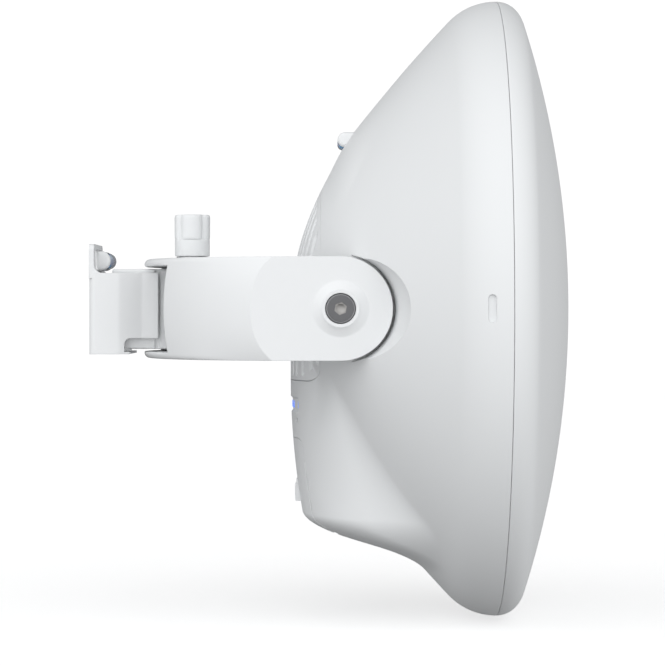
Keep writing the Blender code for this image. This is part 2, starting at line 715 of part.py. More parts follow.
def make_bracket_level(materials):
    """A spirit level on the bracket's ear: a rounded holder and a glass vial that runs along Y."""
    base, middle, half_w = PLATE + GAP, EAR_LEVEL_Z, 6.5 * MM
    foot = base + 4.4 * MM
    outline = [(base, middle - half_w), (foot, middle - half_w)]
    for angle in np.linspace(-1.35, 1.35, 9):
        outline.append((foot + 4.6 * MM * math.cos(angle), middle + half_w * math.sin(angle)))
    outline += [(foot, middle + half_w), (base, middle + half_w)]
    body = prism(bmesh.new(), outline, -LEVEL_HALF_L, LEVEL_HALF_L, "Y")
    center, half = (base + VIAL_OUT, middle), LEVEL_VIAL_HALF_L
    trough = cylinder(bmesh.new(), VIAL_R + GAP, -half - GAP, half + GAP, "Y", center, 16)
    holder = add_piece("bracket_level_holder", body, materials["white_plastic"])
    cut(holder, add_tool("bracket_level_trough_tool", trough))
    vial = cylinder(bmesh.new(), VIAL_R, -half, half, "Y", center, 16)
    add_piece("bracket_level_vial", vial, materials["glass"])


def make_dish_level(materials, parent):
    """The level let into the dome; its holder follows the dome and leaves the vial open underneath."""
    body = prism(bmesh.new(), dish_level_outline(), -LEVEL_HALF_L, LEVEL_HALF_L, "Y")
    holder = add_piece("dish_level_holder", body, materials["white_plastic"], parent)
    cut(holder, add_tool("dish_level_trough_tool", dish_level_vial(GAP)))
    cut(holder, add_tool("dish_level_seat_tool", housing_core(LEVEL_SINK)))
    add_piece("dish_level_vial", dish_level_vial(), materials["glass"], parent)


# ---------------------------------------------------------------- moving fittings of the housing

def make_port_cover(materials, parent):
    """The cover that slides down off the sockets, with a cable notch and a latch window."""
    zs = [z * MM for z in (-84, -96, -108, -120, -130, -137, -142, -145.5, -148.5, -151, -153.5, -157)]
    skin = back_slab(spread(-45 * MM, 45 * MM, 9), zs[::-1], 0, 2.8 * MM)
    cover = add_piece("port_cover", skin, materials["white_plastic"], parent)
    keep(cover, add_tool("cover_edge_tool", cover_box(GAP, 1)))
    cable = cylinder(bmesh.new(), GROMMET_R + GAP, -170 * MM, -130 * MM, "Z", (GROMMET_X, 0), 20)
    low, high = LATCH_Z
    window = box(bmesh.new(), (130 * MM, -LATCH_HALF_W - GAP, low - GAP),
                 (150 * MM, LATCH_HALF_W + GAP, high + GAP))
    cut(cover, add_tool("cable_notch_tool", cable), add_tool("latch_window_tool", window))


def make_cable_grommet(material, parent):
    """A rubber bush for the cables, whose lower end follows the cover's floor."""
    low, high = -155 * MM, -141 * MM
    profile = [(low, 3.2 * MM), (low, GROMMET_R), (high, GROMMET_R), (high, 3.2 * MM)]
    bush = lathe(bmesh.new(), profile, "Z", (GROMMET_X, 0), 20, closed=True)
    grommet = add_piece("cable_grommet", bush, material, parent)
    keep(grommet, add_tool("grommet_end_tool", housing_core(0.4 * MM)))


def make_latch(material, parent):
    """The press tab: a stepped head through the cover's window and a flange behind it."""
    low, high = LATCH_Z
    step = high - 3.1 * MM
    outline = [
        (137 * MM, low), (136.6 * MM, step), (137.5 * MM, step + 0.6 * MM), (137.9 * MM, high),
        (144.6 * MM, high), (144.6 * MM, high + 2 * MM), (146.4 * MM, high + 2 * MM),
        (146.4 * MM, low - 2 * MM), (144.6 * MM, low - 2 * MM), (144.6 * MM, low),
    ]
    latch = prism(bmesh.new(), outline, -LATCH_HALF_W, LATCH_HALF_W, "Y")
    add_piece("cover_latch", latch, material, parent)


def make_reset_button(material, parent):
    face = back_x(BUTTON_Y, BUTTON_Z) + 0.5 * MM
    profile = [
        (face, 0), (face, 1.5 * MM), (144.2 * MM, 1.5 * MM), (144.2 * MM, 3 * MM), (145.4 * MM, 3 * MM),
        (145.4 * MM, 1.5 * MM), (155 * MM, 1.5 * MM), (155 * MM, 0),
    ]
    button = lathe(bmesh.new(), profile, "X", (BUTTON_Y, BUTTON_Z), 16)
    add_piece("reset_button", button, material, parent)


# ---------------------------------------------------------------- yoke and its clamp

def yoke_outer_x(y, z):
    """Rear outline of the yoke: an ellipse in plan, fuller at mid height."""
    crown = YOKE_CROWN * (1 - (z / YOKE_HALF_H)**2)
    return PIVOT_X - (YOKE_A + crown) * math.sqrt(1 - (y / (YOKE_B + crown))**2)


def yoke_inner_x(y):
    return YOKE_INNER_X - YOKE_INNER_DEPTH * math.sqrt(max(1 - (y / ARM_INNER_Y)**2, 0))


def make_yoke(material, parent):
    """The U-shaped arm: crowned outside, hollow behind its rear window, round at the tilt axis."""
    bm = bmesh.new()
    far_x = PIVOT_X + YOKE_HALF_H + 3 * MM
    bend_ys = ARM_OUTER_Y * np.sin(np.linspace(-math.pi / 2, math.pi / 2, 21))
    inner_ys = ARM_INNER_Y * np.sin(np.linspace(math.pi / 2, -math.pi / 2, 13))
    rings = []
    for z in YOKE_HALF_H * np.array((-1, -0.6, 0, 0.6, 1)):
        ring = [(far_x, -ARM_OUTER_Y)] + [(yoke_outer_x(y, z), y) for y in bend_ys] + [(far_x, ARM_OUTER_Y)]
        ring += [(far_x, ARM_INNER_Y)] + [(yoke_inner_x(y), y) for y in inner_ys] + [(far_x, -ARM_INNER_Y)]
        rings.append([bm.verts.new((x, y, z)) for x, y in ring])
    for one, two in zip(rings, rings[1:]):
        bridge(bm, one, two)
    bm.faces.new(rings[0])
    bm.faces.new(rings[-1])
    yoke = add_piece("yoke", bm, material, parent)
    trim = YOKE_HALF_H - 0.01 * MM
    side = [(20 * MM, -trim)] + arc((PIVOT_X, 0), trim, -90, 90, 16) + [(20 * MM, trim)]
    keep(yoke, add_tool("yoke_side_tool", prism(bmesh.new(), side, -150 * MM, 150 * MM, "Y")))
    for label, turn in (("left", lambda item: item), ("right", mirrored_y)):
        root_y, seat_y = ARM_OUTER_Y - 2 * MM, PIVOT_BOSS_Y - BOLT_SEAT
        cone = [(root_y, 0), (root_y, 21.6 * MM), (PIVOT_BOSS_Y, 12.5 * MM), (PIVOT_BOSS_Y, 0)]
        bore = [
            (100 * MM, 0), (100 * MM, STUD_HOLE_R), (seat_y, STUD_HOLE_R),
            (seat_y, BOLT_HEAD_R + GAP), (140 * MM, BOLT_HEAD_R + GAP), (140 * MM, 0),
        ]
        boss = turn(lathe(bmesh.new(), cone, "Y", (PIVOT_X, 0), 24, phase=0.05))
        hole = turn(lathe(bmesh.new(), bore, "Y", (PIVOT_X, 0), 20, phase=0.11))
        join(yoke, add_tool("cone_tool_" + label, boss))
        cut(yoke, add_tool("pivot_bore_tool_" + label, hole))
    cut(yoke, add_tool("yoke_hollow_tool", yoke_hollow()))
    stud = cylinder(bmesh.new(), STUD_HOLE_R, 20 * MM, 40 * MM, "Z", (SWIVEL_X, 0), 20)
    nut = hexagon(NUT_HALF_FLATS + GAP, -40 * MM, -20 * MM)
    return cut(yoke, add_tool("stud_hole_tool", stud), add_tool("nut_hole_tool", nut))


def yoke_hollow():
    """The space inside the crossbar, which opens through the rear window."""
    inner_ys = np.linspace(-104 * MM, 104 * MM, 13)
    outline = [(yoke_inner_x(y) - YOKE_WEB, y) for y in inner_ys]
    outer_ys = [104 * MM, 96 * MM, 86 * MM, WINDOW_HALF_W]
    outline += [(yoke_outer_x(y, YOKE_HALF_H) + YOKE_SKIN, y) for y in outer_ys]
    outline += [(20 * MM, WINDOW_HALF_W), (20 * MM, -WINDOW_HALF_W)]
    outline += [(yoke_outer_x(y, YOKE_HALF_H) + YOKE_SKIN, -y) for y in outer_ys[::-1]]
    return prism(bmesh.new(), outline, WINDOW_LOW, WINDOW_HIGH)


def hexagon(half_flats, low, high):
    """A hexagonal prism about the knob's axis."""
    outline = arc((SWIVEL_X, 0), half_flats / math.cos(math.pi / 6), 0, 300, 5)
    return prism(bmesh.new(), outline, low, high)


def make_pivot(label, turn, materials, yoke_axis, tilt_axis):
    """Bolt and washer on the arm, and the threaded insert in the housing's boss."""
    center = (PIVOT_X, 0)
    face = PIVOT_BOSS_Y - GAP
    head = PIVOT_BOSS_Y - BOLT_SEAT + GAP
    bolt = [
        (90 * MM, 0), (90 * MM, STUD_R), (head, STUD_R), (head, BOLT_HEAD_R),
        (face - 0.6 * MM, BOLT_HEAD_R), (face, BOLT_HEAD_R - 0.6 * MM), (face, 4 * MM),
        (face - 2.6 * MM, 4 * MM), (face - 2.6 * MM, 0),
    ]
    body = turn(lathe(bmesh.new(), bolt, "Y", center))
    add_piece("pivot_bolt_" + label, body, materials["steel"], yoke_axis)
    washer = turn(tube(bmesh.new(), 6 * MM, 19 * MM, BOSS_FACE_Y + GAP, ARM_INNER_Y - GAP, "Y", center))
    add_piece("pivot_washer_" + label, washer, materials["dark_plastic"], yoke_axis)
    insert = turn(tube(bmesh.new(), STUD_HOLE_R, 9 * MM, 84 * MM, POCKET_FLOOR_Y - GAP, "Y", center))
    add_piece("pivot_insert_" + label, insert, materials["steel"], tilt_axis)


def make_knob(material, parent):
    """The hand knob: four flutes in its upper part leave four rounded lobes."""
    profile = [
        (KNOB_LOW, 0), (KNOB_LOW, 11.3 * MM), (KNOB_HIGH - 1 * MM, KNOB_R), (KNOB_HIGH, KNOB_R - 1 * MM),
        (KNOB_HIGH, 0),
    ]
    knob = add_piece("knob", lathe(bmesh.new(), profile, "Z", (SWIVEL_X, 0), 28), material, parent)
    for index, angle in enumerate(np.radians((45, 135, 225, 315))):
        center = (SWIVEL_X + 15 * MM * math.cos(angle), 15 * MM * math.sin(angle))
        flute = lathe(
            bmesh.new(),
            [(45.5 * MM, 0), (47 * MM, 4 * MM), (49.5 * MM, 5.4 * MM), (70 * MM, 5.4 * MM), (70 * MM, 0)],
            "Z", center, 16,
        )
        cut(knob, add_tool(f"flute_tool_{index}", flute))
    socket = cylinder(bmesh.new(), STUD_R + GAP, 30 * MM, 50 * MM + GAP, "Z", (SWIVEL_X, 0))
    cut(knob, add_tool("knob_socket_tool", socket))


# ---------------------------------------------------------------- pole bracket and hub

def make_pole_bracket(material):
    """The channel that clamps to the pole: back plate, jogged side walls, ear for the level."""
    half = BRACKET_HALF_W
    outline = [
        (0, -half), (21 * MM, -half), (35 * MM, -half + JOG), (BRACKET_FRONT, -half + JOG),
        (BRACKET_FRONT, -half + JOG + PLATE), (34.4 * MM, -half + JOG + PLATE), (20.4 * MM, -half + PLATE),
        (PLATE, -half + PLATE),
    ]
    outline += [(x, -y) for x, y in outline[::-1]]
    bracket = add_piece("pole_bracket", prism(bmesh.new(), outline, BRACKET_LOW, BRACKET_HIGH), material)
    ear = [(-28 * MM, 20 * MM), (28 * MM, 20 * MM)]
    ear += arc((24 * MM, EAR_HIGH - 4 * MM), 4 * MM, 0, 90, 3)
    ear += arc((-24 * MM, EAR_HIGH - 4 * MM), 4 * MM, 90, 180, 3)
    join(bracket, add_tool("ear_tool", prism(bmesh.new(), ear, 0, PLATE - 0.05 * MM, "X")))
    boss = box(bmesh.new(), (1 * MM, -12 * MM, -18.5 * MM), (14.3 * MM, 12 * MM, 18.5 * MM))
    join(bracket, add_tool("bracket_boss_tool", boss))
    corner = 4 * MM
    notch = [(60 * MM, -40 * MM), (60 * MM, -19.8 * MM)]
    notch += arc((23.5 * MM + corner, -19.8 * MM - corner), corner, 90, 180, 3) + [(23.5 * MM, -40 * MM)]
    cut(bracket, add_tool("bracket_notch_tool", prism(bmesh.new(), notch, -50 * MM, 50 * MM, "Y")))
    window = rounded_rect((-20 * MM, 26 * MM), (20 * MM, EAR_HIGH - 3.2 * MM), 2.5 * MM, 2)
    cut(bracket, add_tool("ear_window_tool", prism(bmesh.new(), window, -5 * MM, 10 * MM, "X")))
    for index, (y, low) in enumerate(((-25.5, 8), (25.5, 8), (-25.5, -23), (25.5, -23))):
        slot = rounded_rect(((y - 3.2) * MM, low * MM), ((y + 3.2) * MM, (low + 13.5) * MM), 2.5 * MM, 2)
        cut(bracket, add_tool(f"band_slot_tool_{index}", prism(bmesh.new(), slot, -5 * MM, 10 * MM, "X")))
    for index, z in enumerate((-SCREW_Z, SCREW_Z)):
        cut(bracket, add_tool(f"screw_hole_tool_{index}", hub_screw(z, GAP, 1 * MM)))


def hub_screw(z, grow=0.0, ahead=0.0):
    """A countersunk screw along X from the bracket's back into the hub, or the hole for it."""
    back = 0.4 * MM - grow - ahead
    head_r, shank_r, tip = 4.8 * MM + grow, 2.5 * MM + grow, 30 * MM + grow
    profile = [
        (back, 0), (back, head_r), (1.0 * MM, head_r), (3.2 * MM, shank_r), (tip, shank_r), (tip, 0),
    ]
    return lathe(bmesh.new(), profile, "X", (0, z), 16)


def make_swivel_hub(material):
    """The pivot block: a flanged drum round the knob's axis and a neck into the bracket."""
    drum = (
        (-28.4, 0), (-28.4, 20.5), (-26.5, 22), (-20, 22), (-18, 21),
        (17, 21), (19, 22), (25.5, 22), (27.5, 19.5), (27.5, 0),
    )
    profile = [(z * MM, r * MM) for z, r in drum]
    hub = add_piece("swivel_hub", lathe(bmesh.new(), profile, "Z", (SWIVEL_X, 0), 28), material)
    neck = rounded_rect((14.6 * MM, -25.5 * MM), (60 * MM, 25.5 * MM), 3 * MM, 3)
    neck_body = add_tool("neck_tool", prism(bmesh.new(), neck, -27 * MM, 26.5 * MM))
    groove_outline = rounded_rect((43 * MM, -40 * MM), (47 * MM, -18 * MM), 1.5 * MM, 2)
    for index, turn in enumerate((lambda item: item, mirrored_y)):
        groove = turn(prism(bmesh.new(), groove_outline, -40 * MM, 40 * MM))
        cut(neck_body, add_tool(f"neck_groove_tool_{index}", groove))
    join(hub, neck_body)
    bore = cylinder(bmesh.new(), 8 * MM, -40 * MM, 40 * MM, "Z", (SWIVEL_X, 0), 20)
    cut(hub, add_tool("hub_bore_tool", bore))
    for index, z in enumerate((-SCREW_Z, SCREW_Z)):
        cut(hub, add_tool(f"neck_hole_tool_{index}", hub_screw(z, GAP)))


def build():
    clear_scene()
    materials = {
        "white_plastic": make_material("white_plastic", (0.86, 0.87, 0.87), 0.45),
        "painted_metal": make_material("painted_metal", (0.88, 0.89, 0.89), 0.4),
        "dark_plastic": make_material("dark_plastic", (0.06, 0.06, 0.07), 0.5),
        "sheet_metal": make_material("sheet_metal", (0.75, 0.76, 0.78), 0.3, 1.0),
        "steel": make_material("steel", (0.30, 0.30, 0.31), 0.35, 1.0),
        "circuit_board": make_material("circuit_board", (0.02, 0.18, 0.07), 0.5),
        "thermal_pad": make_material("thermal_pad", (0.45, 0.48, 0.55), 0.8),
        "rubber": make_material("rubber", (0.05, 0.05, 0.05), 0.8),
        "glass": make_material("glass", (0.72, 0.84, 0.95), 0.05, 0.0, 0.4),
        "light": make_material("light", (0.10, 0.30, 0.95), 0.3),
    }
    make_pole_bracket(materials["painted_metal"])
    make_swivel_hub(materials["painted_metal"])
    for label, z in (("upper", SCREW_Z), ("lower", -SCREW_Z)):
        add_piece("hub_screw_" + label, hub_screw(z), materials["steel"])
    knob_center = (SWIVEL_X, 0)
    bush = tube(bmesh.new(), STUD_HOLE_R, 7.7 * MM, -28 * MM, 27 * MM, "Z", knob_center)
    add_piece("swivel_bush", bush, materials["dark_plastic"])
    make_bracket_level(materials)

    yoke_axis = add_axis("yoke_axis", (SWIVEL_X, 0, 0))
    make_yoke(materials["painted_metal"], yoke_axis)
    make_clamp_nut(materials["steel"], yoke_axis)

    washer_axis = add_axis("washer_axis", (SWIVEL_X, 0, 34 * MM), yoke_axis)
    washer = tube(bmesh.new(), STUD_HOLE_R, 10.6 * MM, YOKE_HALF_H + GAP, KNOB_LOW - GAP, "Z", knob_center)
    add_piece("knob_washer", washer, materials["steel"], washer_axis)
    knob_axis = add_axis("knob_axis", (SWIVEL_X, 0, 40 * MM), washer_axis)
    make_knob(materials["white_plastic"], knob_axis)
    stud = cylinder(bmesh.new(), STUD_R, -32.6 * MM, 50 * MM, "Z", knob_center)
    add_piece("knob_stud", stud, materials["steel"], knob_axis)

    tilt_axis = add_axis("tilt_axis", (PIVOT_X, 0, 0), yoke_axis)
    for label, turn in (("left", lambda item: item), ("right", mirrored_y)):
        make_pivot(label, turn, materials, yoke_axis, tilt_axis)
    make_rear_shell(materials["white_plastic"], tilt_axis)
    make_radome(materials["white_plastic"], tilt_axis)
    make_rim_seal(materials["rubber"], tilt_axis)
    make_heat_sink(materials["painted_metal"], tilt_axis)
    make_dish_optics(materials, tilt_axis)
    make_electronics(materials, tilt_axis)
    make_dish_level(materials, tilt_axis)

    cover_axis = add_axis("cover_axis", (PIVOT_X - 25 * MM, 0, COVER_TOP), tilt_axis)
    make_port_cover(materials, cover_axis)
    make_cable_grommet(materials["rubber"], cover_axis)
    latch_axis = add_axis("latch_axis", (137 * MM, 0, sum(LATCH_Z) / 2), cover_axis)
    make_latch(materials["white_plastic"], latch_axis)
    button_axis = add_axis("button_axis", (138 * MM, BUTTON_Y, BUTTON_Z), tilt_axis)
    make_reset_button(materials["dark_plastic"], button_axis)


def make_clamp_nut(material, parent):
    """The captive hexagon nut in the yoke's lower plate."""
    nut = add_piece("clamp_nut", hexagon(NUT_HALF_FLATS, -32.8 * MM, -29 * MM), material, parent)
    bore = cylinder(bmesh.new(), STUD_R + GAP, -40 * MM, -20 * MM, "Z", (SWIVEL_X, 0))
    cut(nut, add_tool("nut_bore_tool", bore))


build()
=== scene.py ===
"""Looks of the outdoor wireless bridge: fine surfaces, finishes, studio and camera round the CAD frame."""

import math

import bmesh
import bpy
import numpy as np
from mathutils import Matrix


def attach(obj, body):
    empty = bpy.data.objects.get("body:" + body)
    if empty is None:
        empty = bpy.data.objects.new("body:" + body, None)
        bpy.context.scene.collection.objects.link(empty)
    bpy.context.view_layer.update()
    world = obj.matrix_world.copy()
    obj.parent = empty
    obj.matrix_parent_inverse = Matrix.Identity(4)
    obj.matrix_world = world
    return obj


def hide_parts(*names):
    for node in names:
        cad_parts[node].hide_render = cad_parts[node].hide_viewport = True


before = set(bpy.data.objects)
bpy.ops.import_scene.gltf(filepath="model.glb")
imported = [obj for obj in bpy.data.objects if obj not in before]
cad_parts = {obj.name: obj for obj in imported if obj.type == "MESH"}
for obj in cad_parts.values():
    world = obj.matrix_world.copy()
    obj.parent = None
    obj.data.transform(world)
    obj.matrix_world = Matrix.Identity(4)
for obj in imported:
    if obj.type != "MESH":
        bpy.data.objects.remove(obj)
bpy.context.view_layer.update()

MM = 0.001

# Axes and sizes that the CAD shares
PIVOT_X, SWIVEL_X = 167 * MM, 67 * MM
RIM_R, BACK_X, RISE, FLARE = 206.5 * MM, 133.9 * MM, 3.25, 11.0
RIM_ARC, RIM_ARC_START = 43 * MM, math.radians(46.9)
WALL = 3.2 * MM
POD_X, POD_TAPER, POD_TOP_RISE, POD_TAPER_Z = 133.6 * MM, 0.95, 4.5, -45 * MM
POD_HALF_WIDTH, POD_SIDE_DEPTH = 85 * MM, 58 * MM
POD_CORNER, POD_BLEND = 40 * MM, 34 * MM
RADOME_R, RADOME_EDGE, RADOME_WALL = 612 * MM, 17 * MM, 2.6 * MM
PANEL_R, PANEL_LOW, RIB_PITCH = 79 * MM, -47.6 * MM, 11.17 * MM
COVER_HALF_W, COVER_TOP, COVER_FRONT, COVER_GAP = 40 * MM, -86.4 * MM, 163 * MM, 0.13 * MM
GROMMET_X = 155 * MM
BAY_HALF_W, BAY_ROOF, BAY_FRONT = 41.5 * MM, -101.5 * MM, 165.5 * MM
BUTTON_YZ = (-30 * MM, -74 * MM)
LIGHTS_Y = [y * MM for y in (-32, -16, 0, 16, 32)]
ARC_START_R = RIM_R - RIM_ARC * (1 - math.cos(RIM_ARC_START))


# ---------------------------------------------------------------- the housing's surface

def dome_x(r):
    return BACK_X + RISE * r**2 - FLARE * r**4


RIM_X = dome_x(ARC_START_R) + RIM_ARC * math.sin(RIM_ARC_START)


def smooth_min(a, b, width):
    width = np.maximum(width, 1e-9)
    overlap = np.maximum(width - np.abs(a - b), 0) / width
    return np.minimum(a, b) - overlap**2 * width / 4


def smooth_step(value, low, high):
    t = np.clip((value - low) / (high - low), 0, 1)
    return t * t * (3 - 2 * t)


def pod_side(y):
    turn = 0.97
    t = np.abs(y) / POD_HALF_WIDTH
    root = math.sqrt(1 - turn * turn)
    slope = POD_SIDE_DEPTH / POD_HALF_WIDTH * turn / root
    inside = POD_SIDE_DEPTH * (1 - np.sqrt(np.clip(1 - t * t, 0, 1)))
    outside = POD_SIDE_DEPTH * (1 - root) + slope * (t - turn) * POD_HALF_WIDTH
    return np.where(t < turn, inside, outside)


def pod_x(y, z):
    back = POD_X + POD_TAPER * np.maximum(POD_TAPER_Z - z, 0)**2 + POD_TOP_RISE * np.maximum(z, 0)**2
    floor = 160 * MM + 4.0 * (-151 * MM - z)
    return -smooth_min(-back, -floor, POD_CORNER) + pod_side(y)


def back_x(y, z):
    r = np.hypot(y, z)
    blend = POD_BLEND * smooth_step(r, 70 * MM, 120 * MM)
    return smooth_min(dome_x(r), pod_x(y, z), blend)


def inward(y, z):
    """Unit normals into the housing at points of the back surface."""
    step = 0.2 * MM
    slope_y = (back_x(y + step, z) - back_x(y - step, z)) / (2 * step)
    slope_z = (back_x(y, z + step) - back_x(y, z - step)) / (2 * step)
    normal = np.stack([np.ones_like(slope_y), -slope_y, -slope_z], -1)
    return normal / np.linalg.norm(normal, axis=-1, keepdims=True)


def back_points(y, z, depth=0.0):
    y, z = np.broadcast_arrays(np.asarray(y, float), np.asarray(z, float))
    on = np.stack([back_x(y, z), y, z], -1)
    return on + inward(y, z) * np.asarray(depth)[..., None]


def rim_points(angles, turn, depth=0.0):
    radius = RIM_R - RIM_ARC + (RIM_ARC - depth) * math.cos(turn)
    x = RIM_X - (RIM_ARC - depth) * math.sin(turn)
    return np.stack([np.full_like(angles, x), radius * np.sin(angles), radius * np.cos(angles)], -1)


# ---------------------------------------------------------------- mesh helpers

def mm(points):
    """Pairs of millimetres as metres."""
    return [(a * MM, b * MM) for a, b in points]


def from_bmesh(name, bm):
    mesh = bpy.data.meshes.new(name)
    bm.to_mesh(mesh)
    bm.free()
    obj = bpy.data.objects.new(name, mesh)
    bpy.context.scene.collection.objects.link(obj)
    return obj


def make_object(name, verts, faces):
    mesh = bpy.data.meshes.new("points")
    mesh.from_pydata([tuple(v) for v in np.asarray(verts, float)], [], faces)
    bm = bmesh.new()
    bm.from_mesh(mesh)
    bpy.data.meshes.remove(mesh)
    bmesh.ops.recalc_face_normals(bm, faces=bm.faces)
    return from_bmesh(name, bm)


def ring_faces(rows, columns, wrap_rows=False, wrap_columns=True):
    """Quads over a grid of rows x columns vertices."""
    faces = []
    for i in range(rows if wrap_rows else rows - 1):
        a, b = i * columns, ((i + 1) % rows) * columns
        for j in range(columns if wrap_columns else columns - 1):
            k = (j + 1) % columns
            faces.append((a + j, a + k, b + k, b + j))
    return faces


def solid_from_rings(name, rings, closed=True, caps=False):
    """A tube of equal rings: closed joins the last to the first, caps fills both ends."""
    rings = np.asarray(rings, float)
    rows, columns = rings.shape[:2]
    faces = ring_faces(rows, columns, wrap_rows=closed)
    if caps:
        faces.append(tuple(range(columns))[::-1])
        faces.append(tuple((rows - 1) * columns + j for j in range(columns)))
    return make_object(name, rings.reshape(-1, 3), faces)


def slab(name, outer, inner):
    """A closed slab between two grids of points of the same shape."""
    rows, columns = outer.shape[:2]
    count = rows * columns
    faces = ring_faces(rows, columns, wrap_columns=False)
    faces += [tuple(i + count for i in face[::-1]) for face in faces]
    edge = list(range(columns))
    edge += [i * columns + columns - 1 for i in range(1, rows)]
    edge += [(rows - 1) * columns + j for j in range(columns - 2, -1, -1)]
    edge += [i * columns for i in range(rows - 2, 0, -1)]
    for a, b in zip(edge, edge[1:] + edge[:1]):
        faces.append((a, a + count, b + count, b))
    return make_object(name, np.concatenate([outer.reshape(-1, 3), inner.reshape(-1, 3)]), faces)


AXES = {"X": (0, 1, 2), "Y": (1, 0, 2), "Z": (2, 0, 1)}


def turned(name, profile, axis="X", center=(0, 0), segments=96, closed=False):
    """Turns (along, radius) points about an axis; radius 0 makes a pole."""
    angles = np.linspace(0, 2 * math.pi, segments, endpoint=False)
    order = AXES[axis]
    bm = bmesh.new()
    rings = []
    for along, radius in profile:
        points = np.zeros((1 if radius == 0 else segments, 3))
        points[:, order[0]] = along
        points[:, order[1]] = center[0] + radius * (np.cos(angles) if radius else 0)
        points[:, order[2]] = center[1] + radius * (np.sin(angles) if radius else 0)
        rings.append([bm.verts.new(p) for p in points])
    pairs = list(zip(rings, rings[1:])) + ([(rings[-1], rings[0])] if closed else [])
    for one, two in pairs:
        for i in range(segments):
            j = (i + 1) % segments
            corners = [one[i % len(one)], one[j % len(one)], two[j % len(two)], two[i % len(two)]]
            corners = list(dict.fromkeys(corners))
            if len(corners) > 2:
                bm.faces.new(corners)
    bmesh.ops.recalc_face_normals(bm, faces=bm.faces)
    return from_bmesh(name, bm)


def rod(name, low, high, radius, axis, center, segments):
    """A plain cylinder between two levels of its axis."""
    return turned(name, [(low, 0), (low, radius), (high, radius), (high, 0)], axis, center, segments)


def prism(name, outline, low, high, axis="Z", edge=0.0, steps=4):
    """An extruded outline whose two end edges are rounded by edge, for convex or gently shaped outlines."""
    order = AXES[axis]
    outline = np.asarray(outline, float)
    area = np.sum(outline[:, 0] * np.roll(outline[:, 1], -1) - np.roll(outline[:, 0], -1) * outline[:, 1])
    if area < 0:
        outline = outline[::-1]
    levels = [(low, 0.0), (high, 0.0)]
    if edge:
        turns = np.linspace(0, math.pi / 2, steps + 1)
        levels = [(low + edge * (1 - math.sin(t)), edge * (1 - math.cos(t))) for t in turns[::-1]]
        levels += [(high - edge * (1 - math.sin(t)), edge * (1 - math.cos(t))) for t in turns]
    before = outline - np.roll(outline, 1, 0)
    after = np.roll(outline, -1, 0) - outline
    n1 = np.stack([before[:, 1], -before[:, 0]], -1)
    n2 = np.stack([after[:, 1], -after[:, 0]], -1)
    n1 /= np.linalg.norm(n1, axis=1, keepdims=True)
    n2 /= np.linalg.norm(n2, axis=1, keepdims=True)
    miter = (n1 + n2) / (1 + np.sum(n1 * n2, 1, keepdims=True))
    rings = []
    for level, inset in levels:
        flat = outline - miter * inset
        points = np.zeros((len(flat), 3))
        points[:, order[0]] = level
        points[:, order[1]] = flat[:, 0]
        points[:, order[2]] = flat[:, 1]
        rings.append(points)
    return solid_from_rings(name, rings, closed=False, caps=True)


def box(name, low, high, edge=0.0, radius=0.0, axis="Z"):
    order = AXES[axis]
    outline = rounded_rect([low[i] for i in order[1:]], [high[i] for i in order[1:]], radius)
    return prism(name, outline, low[order[0]], high[order[0]], axis, edge)


def arc(center, radius, start, end, steps):
    angles = np.radians(np.linspace(start, end, steps + 1))
    return [(center[0] + radius * math.cos(a), center[1] + radius * math.sin(a)) for a in angles]


def rounded_rect(low, high, radius, steps=6):
    if not radius:
        return [tuple(low), (high[0], low[1]), tuple(high), (low[0], high[1])]
    return (
        arc((high[0] - radius, high[1] - radius), radius, 0, 90, steps)
        + arc((low[0] + radius, high[1] - radius), radius, 90, 180, steps)
        + arc((low[0] + radius, low[1] + radius), radius, 180, 270, steps)
        + arc((high[0] - radius, low[1] + radius), radius, 270, 360, steps)
    )


def mirrored(obj, name):
    """A copy on the other side of the XZ plane."""
    copy = obj.copy()
    copy.data = obj.data.copy()
    copy.name = name
    copy.data.name = name
    copy.data.transform(Matrix.Scale(-1, 4, (0, 1, 0)))
    copy.data.flip_normals()
    bpy.context.scene.collection.objects.link(copy)
    return copy


def merged(name, *objs):
    """One object out of several, whose meshes stay separate shells."""
    bm = bmesh.new()
    for obj in objs:
        bm.from_mesh(obj.data)
        bpy.data.objects.remove(obj, do_unlink=True)
    return from_bmesh(name, bm)


def boolean(obj, tool, operation):
    modifier = obj.modifiers.new("bool", "BOOLEAN")
    modifier.operation = operation
    modifier.solver = "EXACT"
    modifier.object = tool
    bpy.context.view_layer.update()
    evaluated = obj.evaluated_get(bpy.context.evaluated_depsgraph_get())
    mesh = bpy.data.meshes.new_from_object(evaluated)
    obj.modifiers.clear()
    old = obj.data
    obj.data = mesh
    bpy.data.meshes.remove(old)
    bpy.data.objects.remove(tool, do_unlink=True)
    return obj


def cut(obj, *tools):
    return boolean(obj, merged("tool", *tools), "DIFFERENCE")


def join(obj, *tools):
    return boolean(obj, merged("tool", *tools), "UNION")


def keep(obj, tool):
    return boolean(obj, tool, "INTERSECT")


def smooth(obj, angle=32):
    obj.data.shade_smooth()
    obj.data.set_sharp_from_angle(angle=math.radians(angle))
    return obj


def weigh_normals(obj):
    """Large faces stay flat, and only the small ones beside them round off."""
    modifier = obj.modifiers.new("weigh", "WEIGHTED_NORMAL")
    modifier.keep_sharp = True
    modifier.weight = 80
    bpy.context.view_layer.update()
    mesh = bpy.data.meshes.new_from_object(obj.evaluated_get(bpy.context.evaluated_depsgraph_get()))
    obj.modifiers.clear()
    obj.data = mesh
    return obj


